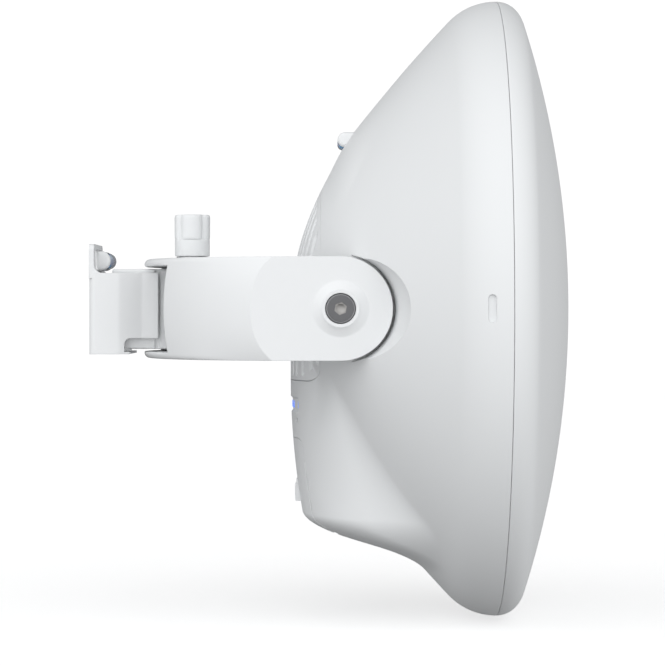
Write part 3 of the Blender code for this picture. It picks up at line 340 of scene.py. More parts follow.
def shade_housing(obj):
    """Smooth shading, with exact normals wherever a corner lies on the housing's back surface."""
    smooth(obj, 28)
    mesh = obj.data
    co = np.empty(len(mesh.vertices) * 3, np.float32)
    mesh.vertices.foreach_get("co", co)
    co = co.reshape(-1, 3).astype(float)
    r = np.hypot(co[:, 1], co[:, 2])
    on_back = (np.abs(back_x(co[:, 1], co[:, 2]) - co[:, 0]) < 0.12 * MM) & (r < ARC_START_R + 0.05 * MM)
    exact = -inward(co[:, 1], co[:, 2])
    arc_center = RIM_R - RIM_ARC
    across = np.stack([RIM_X - co[:, 0], r - arc_center], -1)
    on_rim = (np.abs(np.hypot(across[:, 0], across[:, 1]) - RIM_ARC) < 0.05 * MM) & (r > ARC_START_R)
    radial = co[:, 1:] / np.maximum(r, 1e-6)[:, None]
    rim = np.concatenate([-across[:, :1], radial * across[:, 1:]], 1)
    rim /= np.maximum(np.linalg.norm(rim, axis=1, keepdims=True), 1e-9)
    exact[on_rim] = rim[on_rim]
    known = on_back | on_rim
    count = len(mesh.loops)
    owner = np.empty(count, np.int32)
    mesh.loops.foreach_get("vertex_index", owner)
    corner = np.empty(count * 3, np.float32)
    mesh.corner_normals.foreach_get("vector", corner)
    corner = corner.reshape(-1, 3).astype(float)
    face_normals = np.empty(len(mesh.polygons) * 3, np.float32)
    mesh.polygons.foreach_get("normal", face_normals)
    totals = np.empty(len(mesh.polygons), np.int32)
    mesh.polygons.foreach_get("loop_total", totals)
    per_loop = np.repeat(face_normals.reshape(-1, 3).astype(float), totals, axis=0)
    use = known[owner] & (np.sum(per_loop * exact[owner], 1) > 0.985)
    corner[use] = exact[owner][use]
    mesh.normals_split_custom_set([tuple(n) for n in corner])
    return obj


# ---------------------------------------------------------------- finishes

def new_material(name):
    material = bpy.data.materials.new(name)
    material.use_nodes = True
    return material, material.node_tree, material.node_tree.nodes["Principled BSDF"]


def fill(tree, made, inputs):
    """Sets a node's inputs to values or to other nodes' outputs."""
    for key, value in dict(inputs).items():
        if isinstance(value, bpy.types.NodeSocket):
            tree.links.new(value, made.inputs[key])
        else:
            made.inputs[key].default_value = value
    return made


def node(tree, kind, inputs=(), **settings):
    made = tree.nodes.new(kind)
    for key, value in settings.items():
        setattr(made, key, value)
    return fill(tree, made, inputs)


def maths(tree, operation, *values):
    return node(tree, "ShaderNodeMath", enumerate(values), operation=operation).outputs["Value"]


def noise(tree, coords, scale, detail=3.0, roughness=0.5):
    inputs = {"Vector": coords, "Scale": scale, "Detail": detail, "Roughness": roughness}
    return node(tree, "ShaderNodeTexNoise", inputs).outputs["Fac"]


def ramp(tree, value, low, high, start=0.3, end=0.7):
    """Colours or greys between two values of a texture."""
    made = node(tree, "ShaderNodeValToRGB", {"Fac": value})
    for element, position, colour in zip(made.color_ramp.elements, (start, end), (low, high)):
        element.position = position
        element.color = (*((colour,) * 3 if isinstance(colour, float) else colour), 1)
    return made.outputs["Color"]


def object_coords(tree, scale=(1, 1, 1)):
    coords = node(tree, "ShaderNodeTexCoord").outputs["Object"]
    if scale == (1, 1, 1):
        return coords
    return node(tree, "ShaderNodeMapping", {"Vector": coords, "Scale": scale}).outputs["Vector"]


def bump(tree, shader, height, distance, strength=1.0, edge=0.0):
    """Surface relief, on top of softened edges where edge is a radius."""
    inputs = {"Strength": strength, "Distance": distance, "Height": height}
    if edge:
        inputs["Normal"] = node(tree, "ShaderNodeBevel", {"Radius": edge}, samples=6).outputs["Normal"]
    fill(tree, shader, {"Normal": node(tree, "ShaderNodeBump", inputs).outputs["Normal"]})


def grained(name, low, high, rough, grain, relief, edge=0.0, metallic=0.0, blotch=9.0, stretch=(1, 1, 1)):
    """A finish with fine grain, faint cloudy variation of colour and of gloss, and softened edges.

    Relief and edge are in millimetres; grain and blotch are noise scales.
    """
    material, tree, shader = new_material(name)
    coords = object_coords(tree, stretch)
    cloud = noise(tree, coords, blotch, 4.0, 0.6)
    fine = noise(tree, coords, grain, 3.0, 0.6)
    fill(tree, shader, {
        "Base Color": ramp(tree, cloud, low, high),
        "Roughness": ramp(tree, fine, rough[0], rough[1], 0.2, 0.8),
        "Metallic": metallic,
    })
    bump(tree, shader, fine, relief * MM, 0.6, edge * MM)
    return material


MOULDED = ((0.825, 0.835, 0.840), (0.835, 0.845, 0.850))
METAL = 1.0
# Finish: material name, two colours, gloss range, grain, relief, softened edge, metal, blotch and stretch
GRAINED = {
    "shell": ("moulded_white", *MOULDED, (0.46, 0.56), 1500, 0.012, 0.5),
    "radome": ("radome_white", *MOULDED, (0.42, 0.52), 1500, 0.010),
    "paint": ("powder_coat", (0.84, 0.85, 0.856), (0.86, 0.868, 0.874), (0.38, 0.48), 1100, 0.02, 0.8),
    "knob": ("knob_white", (0.82, 0.83, 0.835), (0.84, 0.85, 0.855), (0.40, 0.50), 1600, 0.012, 0.6),
    "holder": ("holder_white", (0.84, 0.85, 0.855), (0.87, 0.875, 0.88), (0.30, 0.40), 1800, 0.008, 0.3),
    "dark_plastic": ("dark_plastic", (0.030, 0.030, 0.033), (0.045, 0.045, 0.048), (0.45, 0.6), 1800,
                     0.02, 0.2),
    "rubber": ("black_rubber", (0.018, 0.018, 0.018), (0.032, 0.032, 0.033), (0.65, 0.85), 1200, 0.04, 0.3),
    "pad": ("thermal_pad", (0.38, 0.42, 0.50), (0.46, 0.50, 0.58), (0.7, 0.85), 1500, 0.03),
    "sheet": ("bare_sheet", (0.62, 0.63, 0.65), (0.72, 0.73, 0.75), (0.22, 0.40), 500, 0.02, 0.2, METAL,
              30.0, (0.08, 1, 1)),
    "tin": ("tinned_steel", (0.60, 0.60, 0.60), (0.70, 0.70, 0.69), (0.25, 0.45), 700, 0.02, 0.15, METAL,
            40.0, (1, 0.15, 1)),
    "steel": ("dark_steel", (0.125, 0.125, 0.13), (0.155, 0.155, 0.16), (0.30, 0.46), 900, 0.015, 0.2, METAL),
    "brass": ("insert_brass", (0.48, 0.36, 0.16), (0.58, 0.44, 0.21), (0.25, 0.4), 900, 0.01, 0.15, METAL),
    # socket: the pivot bolts' own steel made lighter inside the hex socket, painted light on the socket's lit
    # walls.
    "socket": ("socket_steel", (0.30, 0.29, 0.28), (0.38, 0.37, 0.36), (0.30, 0.42), 900, 0.01, 0.1, METAL),
    # bright: real bright steel for the small fittings, and also the painted highlight on the pivot bolts'
    # chamfer ring.
    "bright": ("bright_steel", (0.55, 0.55, 0.56), (0.66, 0.66, 0.67), (0.20, 0.34), 900, 0.01, 0.1, METAL),
}


def board_finish():
    """Green solder mask with paler tracks under it."""
    material, tree, shader = new_material("circuit_board")
    coords = object_coords(tree)
    tracks = node(tree, "ShaderNodeTexVoronoi", feature="DISTANCE_TO_EDGE", distance="MANHATTAN")
    fill(tree, tracks, {"Vector": coords, "Scale": 260})
    near = tracks.outputs["Distance"]
    fill(tree, shader, {
        "Base Color": ramp(tree, near, (0.03, 0.16, 0.06), (0.010, 0.075, 0.030), 0.04, 0.07),
        "Roughness": ramp(tree, noise(tree, coords, 400), 0.25, 0.4),
    })
    bump(tree, shader, near, 0.05 * MM, 0.4)
    return material


def light_finish():
    """A blue light guide that glows, unevenly like cloudy plastic."""
    material, tree, shader = new_material("status_light")
    coords = object_coords(tree)
    glow = ramp(tree, noise(tree, coords, 300, 2.0), (0.05, 0.16, 0.85), (0.10, 0.28, 1.0))
    rough = ramp(tree, noise(tree, coords, 1500), 0.25, 0.35)
    fill(tree, shader, {
        "Base Color": glow, "Emission Color": glow, "Emission Strength": 0.9, "Roughness": rough})
    return material


def vial_finish():
    material, tree, shader = new_material("clear_vial")
    coords = object_coords(tree)
    tint = ramp(tree, noise(tree, coords, 60), (0.80, 0.90, 1.0), (0.90, 0.96, 1.0))
    rough = ramp(tree, noise(tree, coords, 1800), 0.02, 0.06)
    fill(tree, shader, {"Base Color": tint, "Roughness": rough, "Transmission Weight": 0.9, "IOR": 1.3})
    return material


def fluid_finish():
    """The vial's fluid: blue underneath, lilac grey in its middle that pales near the top into painted
    highlight, and a dark band of painted shade along its top.
    """
    material, tree, shader = new_material("vial_fluid")
    coords = node(tree, "ShaderNodeTexCoord").outputs["Generated"]
    height = node(tree, "ShaderNodeSeparateXYZ", {"Vector": coords}).outputs["Z"]
    wavy = maths(tree, "MULTIPLY_ADD", noise(tree, coords, 6), 0.08, height)
    band = node(tree, "ShaderNodeValToRGB", {"Fac": wavy})
    layers = band.color_ramp.elements
    # The blue and lilac grey are the fluid's colour; the pale bands near the top are painted highlight and
    # the dark end on top is painted shade.
    layers[0].position, layers[0].color = 0.12, (0.20, 0.50, 0.80, 1)
    layers[1].position, layers[1].color = 1.0, (0.03, 0.05, 0.20, 1)
    for position, colour in ((0.30, (0.42, 0.42, 0.55)), (0.60, (0.52, 0.52, 0.62)),
                             (0.82, (0.78, 0.80, 0.86)), (0.93, (0.70, 0.74, 0.84))):
        layers.new(position).color = (*colour, 1)
    rough = ramp(tree, noise(tree, coords, 90), 0.08, 0.16)
    fill(tree, shader, {"Base Color": band.outputs["Color"], "Roughness": rough})
    return material


FINISH = {finish: grained(*look) for finish, look in GRAINED.items()}
FINISH.update(board=board_finish(), light=light_finish(), vial=vial_finish(), fluid=fluid_finish())


def place(obj, body, finish, *nodes):
    """Gives a piece its finish and its body, and hides the CAD nodes that it stands for."""
    obj.data.materials.clear()
    obj.data.materials.append(FINISH[finish])
    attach(obj, body)
    if nodes:
        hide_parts(*nodes)
    return obj


# ---------------------------------------------------------------- housing

def bottom_crowded(count, crowding=0.36):
    even = np.linspace(0, 2 * math.pi, count, endpoint=False)
    return even + crowding * np.sin(even)


def polar_rings(radii, angles, depth, turns=()):
    rings = [back_points(r * np.sin(angles), r * np.cos(angles), depth) for r in radii]
    rings += [rim_points(angles, RIM_ARC_START * t, depth) for t in turns]
    return rings


def housing_skin(name, thickness, first=40 * MM, count=288):
    """The back of the housing as a closed shell, from an inner radius to the rim."""
    angles = bottom_crowded(count)
    outer = polar_rings(np.linspace(first, ARC_START_R, 76), angles, 0.0, np.linspace(0.93, 0.03, 12))
    lip = [rim_points(angles, math.asin(0.35 * MM / RIM_ARC), d) for d in (0.0, 0.25 * MM)]
    lip[1][:, 0] = RIM_X
    inner = polar_rings(np.linspace(first, ARC_START_R, 30), angles, thickness, (0.7, 0.4, 0.12, 0.0))
    return solid_from_rings(name, outer + lip + inner[::-1])


def housing_core(name, depth):
    angles = bottom_crowded(200)
    rings = polar_rings(np.linspace(30 * MM, ARC_START_R, 50), angles, depth, (0.7, 0.4))
    return solid_from_rings(name, rings, closed=False, caps=True)


def pocket(name, grow, floor_y):
    """The round space beside the yoke's arm: a straight slot that flares out above the arm's face."""
    wall = [(floor_y, 34.7 * MM), *mm([(120, 34.8), (122, 35.1), (124, 35.8), (172, 45.6)])]
    outline = [(floor_y, 0)] + [(y, r + grow) for y, r in wall] + [(172 * MM, 0)]
    return turned(name, outline, "Y", (PIVOT_X, 0), 180)


def both_sides(obj):
    return obj, mirrored(obj, obj.name + "_right")


def panel_outline(grow=0.0):
    radius, low, corner = PANEL_R + grow, PANEL_LOW - grow, 22 * MM
    reach = math.sqrt((radius - corner)**2 - (low + corner)**2)
    lift = math.degrees(math.atan2(low + corner, reach))
    right = arc((reach, low + corner), corner, -90, lift, 14)
    top = arc((0, 0), radius, lift, 180 - lift, 120)
    left = arc((-reach, low + corner), corner, 180 - lift, 270, 14)
    return right[:-1] + top + left[1:]


def cover_outline(gap, side):
    half, top, corner = COVER_HALF_W - side * gap, COVER_TOP - side * gap, 9 * MM
    outline = [(-half, -175 * MM), (half, -175 * MM)]
    outline += arc((half - corner, top - corner), corner, 0, 90, 12)
    outline += arc((-half + corner, top - corner), corner, 90, 180, 12)
    return outline


def patch(name, y, z, high, low):
    """A closed slab between two depths under the back surface, over a grid of points."""
    return slab(name, back_points(y, z, high), back_points(y, z, low))


def stadium(center, half_w, half_h, steps=10):
    x, z = center
    reach = half_h - half_w
    return arc((x, z + reach), half_w, 0, 180, steps) + arc((x, z - reach), half_w, 180, 360, steps)


def light_recess():
    """The cutter for the shallow trough that holds the status lights, with eased edges."""
    low, high, half, slope = -69.6 * MM, -58.6 * MM, 35.5 * MM, 2 * MM
    y, z = np.meshgrid(np.linspace(-half, half, 60), np.linspace(low, high, 34), indexing="ij")
    edge = smooth_step(z, low, low + slope) * (1 - smooth_step(z, high - slope, high))
    edge *= 1 - smooth_step(np.abs(y), half - slope, half)
    return patch("light_recess", y, z, -2 * MM, -0.02 * MM + 1.22 * MM * edge)


def make_shell():
    shell = housing_skin("housing_back", WALL)
    cups = both_sides(pocket("cup", 2.8 * MM, 105.2 * MM))
    wall, across = 2.5 * MM, BAY_HALF_W + 2.5 * MM
    bay = box("bay", (120 * MM, -across, -170 * MM), (BAY_FRONT + wall, across, BAY_ROOF + wall))
    join(shell, keep(merged("lining", *cups, bay), housing_core("core", WALL / 2)))
    side = prism("side_slot", stadium((258 * MM, 0), 2.5 * MM, 8.5 * MM), 202.6 * MM, 212 * MM, "Y")
    cut(
        shell,
        *both_sides(pocket("pocket", 0.0, 108 * MM)),
        *both_sides(side),
        prism("panel_hole", panel_outline(0.35 * MM), 100 * MM, 200 * MM, "X"),
        light_recess(),
        rod("button_hole", 120 * MM, 160 * MM, 1.8 * MM, "X", BUTTON_YZ, 24),
        prism("door", cover_outline(COVER_GAP, -1), 110 * MM, COVER_FRONT + COVER_GAP, "X"),
    )
    bars = []
    for y in LIGHTS_Y:
        low, high = (120 * MM, y - 1.15 * MM, -66.6 * MM), (160 * MM, y + 1.15 * MM, -61.4 * MM)
        bars.append(box("bar_hole", low, high, 0, 1.1 * MM, "X"))
    seat = join(dish_level_body("level_seat", 0.15 * MM), dish_level_space("vial_seat"))
    cut(shell, cut(seat, housing_core("seat_floor", 2.15 * MM)))
    cut(shell, *bars, box("bay_space", (110 * MM, -BAY_HALF_W, -180 * MM), (BAY_FRONT, BAY_HALF_W, BAY_ROOF)))
    shade_housing(shell)
    place(shell, "dish", "shell", "rear_shell")
    profile = mm([(104, 9.6), (104, 20), (108.2, 20), (108.5, 19.7), (108.5, 9.6)])
    for piece in both_sides(turned("pivot_boss_left", profile, "Y", (PIVOT_X, 0), 64, closed=True)):
        place(smooth(piece), "dish", "shell")


def make_radome():
    start = math.asin((RIM_R - RADOME_EDGE) / (RADOME_R - RADOME_EDGE))
    tip = RIM_X + 0.3 * MM + RADOME_R - (RADOME_R - RADOME_EDGE) * math.cos(start)
    center, edge_x, edge_r = tip - RADOME_R, RIM_X + 0.3 * MM, RIM_R - RADOME_EDGE

    def skin(depth, steps, last):
        cap = [(center + (RADOME_R - depth) * math.cos(a), (RADOME_R - depth) * math.sin(a))
               for a in np.linspace(0, start, steps)]
        radius = RADOME_EDGE - depth
        edge = [(edge_x + radius * math.sin(a), edge_r + radius * math.cos(a))
                for a in np.linspace(math.pi / 2 - start, last, 18)]
        return [(cap[0][0], 0)] + cap[1:-1] + edge

    outer = skin(0, 46, 0.03) + [(edge_x + 0.2 * MM, RIM_R - 0.08 * MM), (edge_x, RIM_R - 0.3 * MM)]
    lip = [(edge_x, 199.5 * MM), *mm([(264.5, 199.5), (264.5, 196.8)]), (edge_x + 4 * MM, 196.8 * MM)]
    inner = skin(RADOME_WALL, 30, 0.25)
    radome = turned("radome_cover", outer + lip + inner[::-1], "X", (0, 0), 320)
    return place(smooth(radome, 30), "dish", "radome", "radome")


def make_panel():
    """The ribbed panel: round-ended grooves pressed into the skin that fills the housing's opening."""
    ys = np.linspace(-81, 81, 361) * MM
    zs = np.concatenate([np.linspace(-52, -38, 22)[:-1], np.linspace(-38, 81, 90)]) * MM
    y, z = np.meshgrid(ys, zs, indexing="ij")
    depth = np.zeros_like(y)
    for index in range(-6, 7):
        axis_y = index * RIB_PITCH
        reach = (PANEL_R - 5 * MM)**2 - axis_y**2
        low = PANEL_LOW + 5.5 * MM + max(abs(axis_y) - 45 * MM, 0) * 0.35
        top = math.sqrt(reach) - 1.5 * MM
        along = np.clip(z, low, top)
        away = np.hypot(y - axis_y, z - along)
        groove = 1 - smooth_step(away, 1.2 * MM, 2.6 * MM)
        depth = np.maximum(depth, 2.2 * MM * groove)
    panel = patch("ribbed_panel", y, z, depth, 5 * MM)
    keep(panel, prism("panel_edge", panel_outline(), 100 * MM, 200 * MM, "X"))
    smooth(panel, 40)
    return place(panel, "dish", "paint", "heat_sink")


def make_cover():
    """The sliding cover: a patch of the back skin inside the cover's outline, with notch and latch window."""
    angles = np.linspace(math.pi - 0.72, math.pi + 0.72, 150)
    radii = np.linspace(78, 194, 110) * MM
    r, a = np.meshgrid(radii, angles, indexing="ij")
    y, z = r * np.sin(a), r * np.cos(a)
    cover = patch("sockets_cover", y, z, 0.0, 2.8 * MM)
    keep(cover, prism("cover_edge", cover_outline(COVER_GAP, 1), 110 * MM, COVER_FRONT - COVER_GAP, "X"))
    notch = rod("notch", -170 * MM, -130 * MM, 6.3 * MM, "Z", (GROMMET_X, 0), 64)
    low, high = (130 * MM, -9.3 * MM, -129.9 * MM), (150 * MM, 9.3 * MM, -114.4 * MM)
    window = box("window", low, high, 0, 1.5 * MM, "X")
    cut(cover, notch, window)
    shade_housing(cover)
    return place(cover, "port_cover", "shell", "port_cover")


def make_latch():
    """The press tab: a small step on top of a slightly hollowed pad, and its flange behind."""
    low, high, half = -129.6, -114.7, 9.0
    face = [(137.0, low), (136.75, low + 1.2), (136.6, low + 5), (136.6, high - 4.2), (136.9, high - 3.5),
            (137.35, high - 3.2), (137.5, high - 2.4), (137.6, high - 0.5), (137.9, high)]
    back = [(144.6, high), (144.6, high + 2), (146.4, high + 2),
            (146.4, low - 2), (144.6, low - 2), (144.6, low)]
    tab = prism("latch_tab", mm(face + back), -half * MM, half * MM, "Y")
    return place(smooth(tab, 25), "cover_latch", "shell", "cover_latch")


# ---------------------------------------------------------------- yoke

YOKE_Z, ARM_OUT, ARM_IN = 33 * MM, 126 * MM, 110.5 * MM


def yoke_back(y, z):
    """Rear surface of the yoke, fuller at mid height, rounder where the arms begin and eased at both lips."""
    height = np.abs(z / YOKE_Z)
    near_arm = smooth_step(np.abs(y), 96 * MM, 124 * MM)
    crown = 3 * MM * (1 - height**2) - 2.4 * MM * height**3.5 * near_arm
    ease = np.clip((np.abs(z) - (YOKE_Z - 2.6 * MM)) / (2.6 * MM), 0, 1)
    inset = 2.6 * MM * (1 - np.sqrt(1 - ease**2)) * (1 - near_arm)
    inner = np.clip((30 * MM - np.abs(z)) / (2 * MM), 0, 1)
    inset += 1.8 * MM * (1 - np.sqrt(1 - inner**2)) * (1 - smooth_step(np.abs(y), 58 * MM, 71 * MM))
    return PIVOT_X - (131.5 * MM + crown - inset) * np.sqrt(1 - (y / (136 * MM + crown))**2)


def yoke_front(y):
    return 125 * MM - 30 * MM * np.sqrt(np.clip(1 - (y / ARM_IN)**2, 0, 1))


def yoke_plan(z, count=150, inner=60):
    """The yoke's outline in plan at a height: outside from arm to arm, then back along the inside."""
    far = PIVOT_X + YOKE_Z + 3 * MM
    out_y = ARM_OUT * np.sin(np.linspace(-math.pi / 2, math.pi / 2, count))
    in_y = ARM_IN * np.sin(np.linspace(math.pi / 2, -math.pi / 2, inner))
    ring = [(far, -ARM_OUT)] + list(zip(yoke_back(out_y, z), out_y)) + [(far, ARM_OUT), (far, ARM_IN)]
    ring += list(zip(yoke_front(in_y), in_y)) + [(far, -ARM_IN)]
    return np.array([(x, y, z) for x, y in ring])


def yoke_hollow():
    ys = np.linspace(-104, 104, 60) * MM
    outline = list(zip(yoke_front(ys) - 4.5 * MM, ys))
    side = np.linspace(104, 72, 16) * MM
    outline += list(zip(yoke_back(side, YOKE_Z) + 8 * MM, side))
    outline += [(20 * MM, 72 * MM), (20 * MM, -72 * MM)]
    outline += list(zip(yoke_back(side, YOKE_Z) + 8 * MM, -side))[::-1]
    return prism("hollow", outline, -28.7 * MM, 28 * MM)


def make_yoke():
    levels = YOKE_Z * np.sin(np.linspace(-math.pi / 2, math.pi / 2, 33))
    lips = np.array([27.9, 28.05, 28.25, 28.6, 29.1, 29.7, 30.1]) * MM
    levels = np.sort(np.concatenate([levels[np.abs(np.abs(levels) - 29 * MM) > 1.2 * MM], lips, -lips]))
    yoke = solid_from_rings("u_yoke", [yoke_plan(z) for z in levels], closed=False, caps=True)
    trim = YOKE_Z - 0.01 * MM
    side = [(20 * MM, -trim)] + arc((PIVOT_X, 0), trim, -90, 90, 90) + [(20 * MM, trim)]
    keep(yoke, prism("side_view", side, -150 * MM, 150 * MM, "Y"))
    cone = mm([(124, 0), (124, 18.4), (125.95, 18.4), (126.1, 17.8), (126.5, 16.6), (127.6, 14.0),
               (128.6, 12.3), (129, 11.9), (129, 0)])
    bore = mm([(100, 0), (100, 5.4), (124.8, 5.4), (124.8, 9.7), (128.7, 9.7), (129.1, 10.0),
               (140, 10.0), (140, 0)])
    join(yoke, *both_sides(turned("cone", cone, "Y", (PIVOT_X, 0), 96)))
    cut(yoke, *both_sides(turned("bore", bore, "Y", (PIVOT_X, 0), 80)))
    cut(yoke, yoke_hollow())
    corner = 8.3 * MM / math.cos(math.pi / 6)
    nut = prism("nut_hole", arc((SWIVEL_X, 0), corner, 0, 300, 5), -40 * MM, -20 * MM)
    cut(yoke, rod("stud_hole", 20 * MM, 40 * MM, 5.4 * MM, "Z", (SWIVEL_X, 0), 48), nut)
    smooth(yoke, 24)
    weigh_normals(yoke)
    return place(yoke, "yoke", "paint", "yoke")


def make_pivot_bolts():
    """Socket-head pivot bolts: dark turned face, a bright thin ring that is a painted highlight on the head's
    chamfer, and a hexagonal socket with a drill point, painted lighter than the head as light on its walls.
    """
    face, rim, center = 128.7 * MM, 9.45, (PIVOT_X, 0)

    def at_face(points):
        return [(face + y, r) for y, r in mm(points)]

    def hexagon(name, corner, depth):
        return prism(name, arc(center, corner * MM, 20, 320, 5), face - depth * MM, face + 2 * MM, "Y")

    head = turned("pivot_screw_left", at_face([
        (-38.7, 0), (-38.7, 5), (-3.6, 5), (-3.6, rim), (-0.7, rim), (-0.3, rim - 0.12), (-0.15, rim - 0.4),
        (-0.15, 8.85), (-0.08, 8.6), (-0.08, 7.5), (-0.12, 7.4), (-0.08, 7.3), (-0.08, 0),
    ]), "Y", center, 128)
    cut(head, rod("well", face - 3.5 * MM, face - 0.6 * MM, 4.75 * MM, "Y", center, 96))
    cut(head, hexagon("mouth", 4.15, 1.0))
    # A thin ring of bright steel on the head's chamfer: a painted highlight, since the real head is all one
    # dark steel.
    ring = at_face([(-0.3, 8.62), (-0.02, 8.66), (0, 8.74), (-0.06, 8.83), (-0.3, 8.9)])
    ring = turned("pivot_highlight_ring_left", ring, "Y", center, 128, closed=True)
    # The socket cup takes a lighter steel than the head: painted light on the socket's walls.
    cup = rod("pivot_socket_left", face - 3.4 * MM, face - 0.7 * MM, 4.7 * MM, "Y", center, 96)
    cut(cup, hexagon("hexagon", 3.95, 1.7))
    cut(cup, turned("drill", at_face([(-3.3, 0), (-1.5, 3.45), (-1.5, 0)]), "Y", center, 96))
    for piece, node_name in zip(both_sides(head), ("pivot_bolt_left", "pivot_bolt_right")):
        place(smooth(piece, 20), "yoke", "steel", node_name)
    # The ring's bright steel is a painted highlight and the socket's lighter steel is painted light on its
    # walls.
    for part, finish in ((ring, "bright"), (cup, "socket")):
        for piece in both_sides(part):
            place(smooth(piece, 20), "yoke", finish)


def make_washer():
    ring = mm([(33.3, 5.4), (33.3, 10.3), (33.5, 10.6), (34.9, 10.6), (35.1, 10.3), (35.1, 5.4)])
    washer = turned("plain_washer", ring, "Z", (SWIVEL_X, 0), 96, closed=True)
    return place(smooth(washer), "knob_washer", "bright", "knob_washer")


def knob_radius(angles, lobed):
    """Cross-section of the knob: four broad lobes parted by narrow grooves, or the plain skirt below."""
    from_groove = np.degrees((angles % (math.pi / 2)) - math.pi / 4)
    front = np.sin(angles)**2
    grooves = 1.8 * np.exp(-(from_groove / 9.5)**2) + 0.35 * np.exp(-(from_groove / 20)**2)
    lobes = 12.05 + 0.3 * front - grooves
    return lobes * lobed + (11.95 - 0.65 * front) * (1 - lobed)


def make_knob():
    """The hand knob: rounded lobes that stand a little proud of the skirt under them."""
    angles = np.linspace(0, 2 * math.pi, 240, endpoint=False)
    levels = [(35.4, 0, 0.4), (35.6, 0, 0.15), (36.2, 0, 0), (45.9, 0, 0), (46.3, 0, 0.04), (46.5, 0, 0.16),
              (46.6, 0.4, 0.22), (46.8, 0.75, 0.25), (47.1, 0.95, 0.16), (47.6, 1, 0.05), (48.3, 1, 0)]
    levels += [(z, 1, 0) for z in np.linspace(50, 61.4, 7)]
    levels += [(62.4, 1, 0.12), (62.9, 1, 0.35), (63.25, 1, 0.75), (63.4, 1, 1.4)]
    rings = []
    for z, lobed, inset in levels:
        radius = knob_radius(angles, lobed) - inset + (z - 63.4) * 0.006
        points = np.stack([radius * np.cos(angles), radius * np.sin(angles), np.full_like(angles, z)], -1)
        rings.append(points * MM + (SWIVEL_X, 0, 0))
    knob = solid_from_rings("hand_knob", rings, closed=False, caps=True)
    cut(knob, rod("knob_bore", 30 * MM, 50.3 * MM, 5.3 * MM, "Z", (SWIVEL_X, 0), 48))
    return place(smooth(knob, 34), "knob", "knob", "knob")


# ---------------------------------------------------------------- pole bracket and hub

BEND_THICK, LIP_X = 3.4, 45.8
NECK_SCREWS_Z = (-12, 12)


def bracket_outline():
    """The channel seen from above: its outer line, then the same line moved in by the plate's thickness."""
    path = [(0, 0), (0, -10), (0, -20), (0, -28)] + arc((5, -30), 5, 180, 270, 8)
    path += [(12, -35), (19, -35), (20.2, -34.9), (21.5, -34.5), (28, -32.2), (33.6, -30.4), (34.8, -30.08)]
    outer = np.array(path + [(36, -30), (40, -30), (LIP_X, -30)], float)
    step = np.gradient(outer, axis=0)
    step /= np.linalg.norm(step, axis=1, keepdims=True)
    inner = outer + np.stack([-step[:, 1], step[:, 0]], -1) * BEND_THICK
    inner[:4, 0] = BEND_THICK
    outer[-1, 0] = inner[-1, 0] = LIP_X
    half = np.concatenate([outer, inner[::-1]])
    return np.concatenate([half, (half * (1, -1))[::-1][1:-1]]) * MM


def make_bracket():
    bracket = prism("pole_channel", bracket_outline(), -30.4 * MM, 23.7 * MM)
    ear = mm([(-34, 20), (34, 20)] + arc((30, 39), 4, 0, 90, 10) + arc((-30, 39), 4, 90, 180, 10))
    join(bracket, prism("ear", ear, 0, 3.35 * MM, "X"))
    web = mm([(0.2, 20), (12, 20), (12, 23.6)] + arc((9, 29.3), 5.7, 270, 180, 12) + [(0.2, 29.3)])
    join(bracket, *both_sides(prism("web", web, 25 * MM, 34.2 * MM, "Y")))
    low, high = (20 * MM, -22 * MM, -30.3 * MM), (28.6 * MM, 22 * MM, -28.9 * MM)
    join(bracket, box("tongue", low, high, 0.5 * MM, 3 * MM))
    join(bracket, box("land", (1 * MM, -12 * MM, -18.5 * MM), (14.3 * MM, 12 * MM, 18.5 * MM)))
    notch = mm([(60, -28.8), (60, -19.8)] + arc((27.5, -23.8), 4, 90, 180, 10) + [(23.5, -28.8)])
    below = mm([(27, -40), (60, -40), (60, -28), (27, -28)])
    window = mm(rounded_rect((-20, 26), (20, 39.8), 2.5))
    tools = [prism("notch", notch, -50 * MM, 50 * MM, "Y"), prism("below", below, -50 * MM, 50 * MM, "Y"),
             prism("ear_window", window, -5 * MM, 10 * MM, "X")]
    for index, (y, low_z) in enumerate(((-25.5, 8), (25.5, 8), (-25.5, -23), (25.5, -23))):
        slot = mm(rounded_rect((y - 3.2, low_z), (y + 3.2, low_z + 13.5), 2.5))
        tools.append(prism(f"band_slot_{index}", slot, -5 * MM, 10 * MM, "X"))
    tools += [screw_profile(f"screw_seat_{k}", z, 0.3, 1.0) for k, z in enumerate(NECK_SCREWS_Z)]
    for tool in tools:  # one at a time: overlapping cutters merged into one would cut everything away
        cut(bracket, tool)
    weigh_normals(smooth(bracket, 24))
    return place(bracket, "bracket", "paint", "pole_bracket")


def screw_profile(name, z, grow=0.0, ahead=0.0):
    back, head, shank = 0.4 - grow - ahead, 4.8 + grow, 2.5 + grow
    profile = [(back, 0), (back, head), (1.0, head), (3.2, shank), (30 + grow, shank), (30 + grow, 0)]
    return turned(name, mm(profile), "X", (0, z * MM), 40)


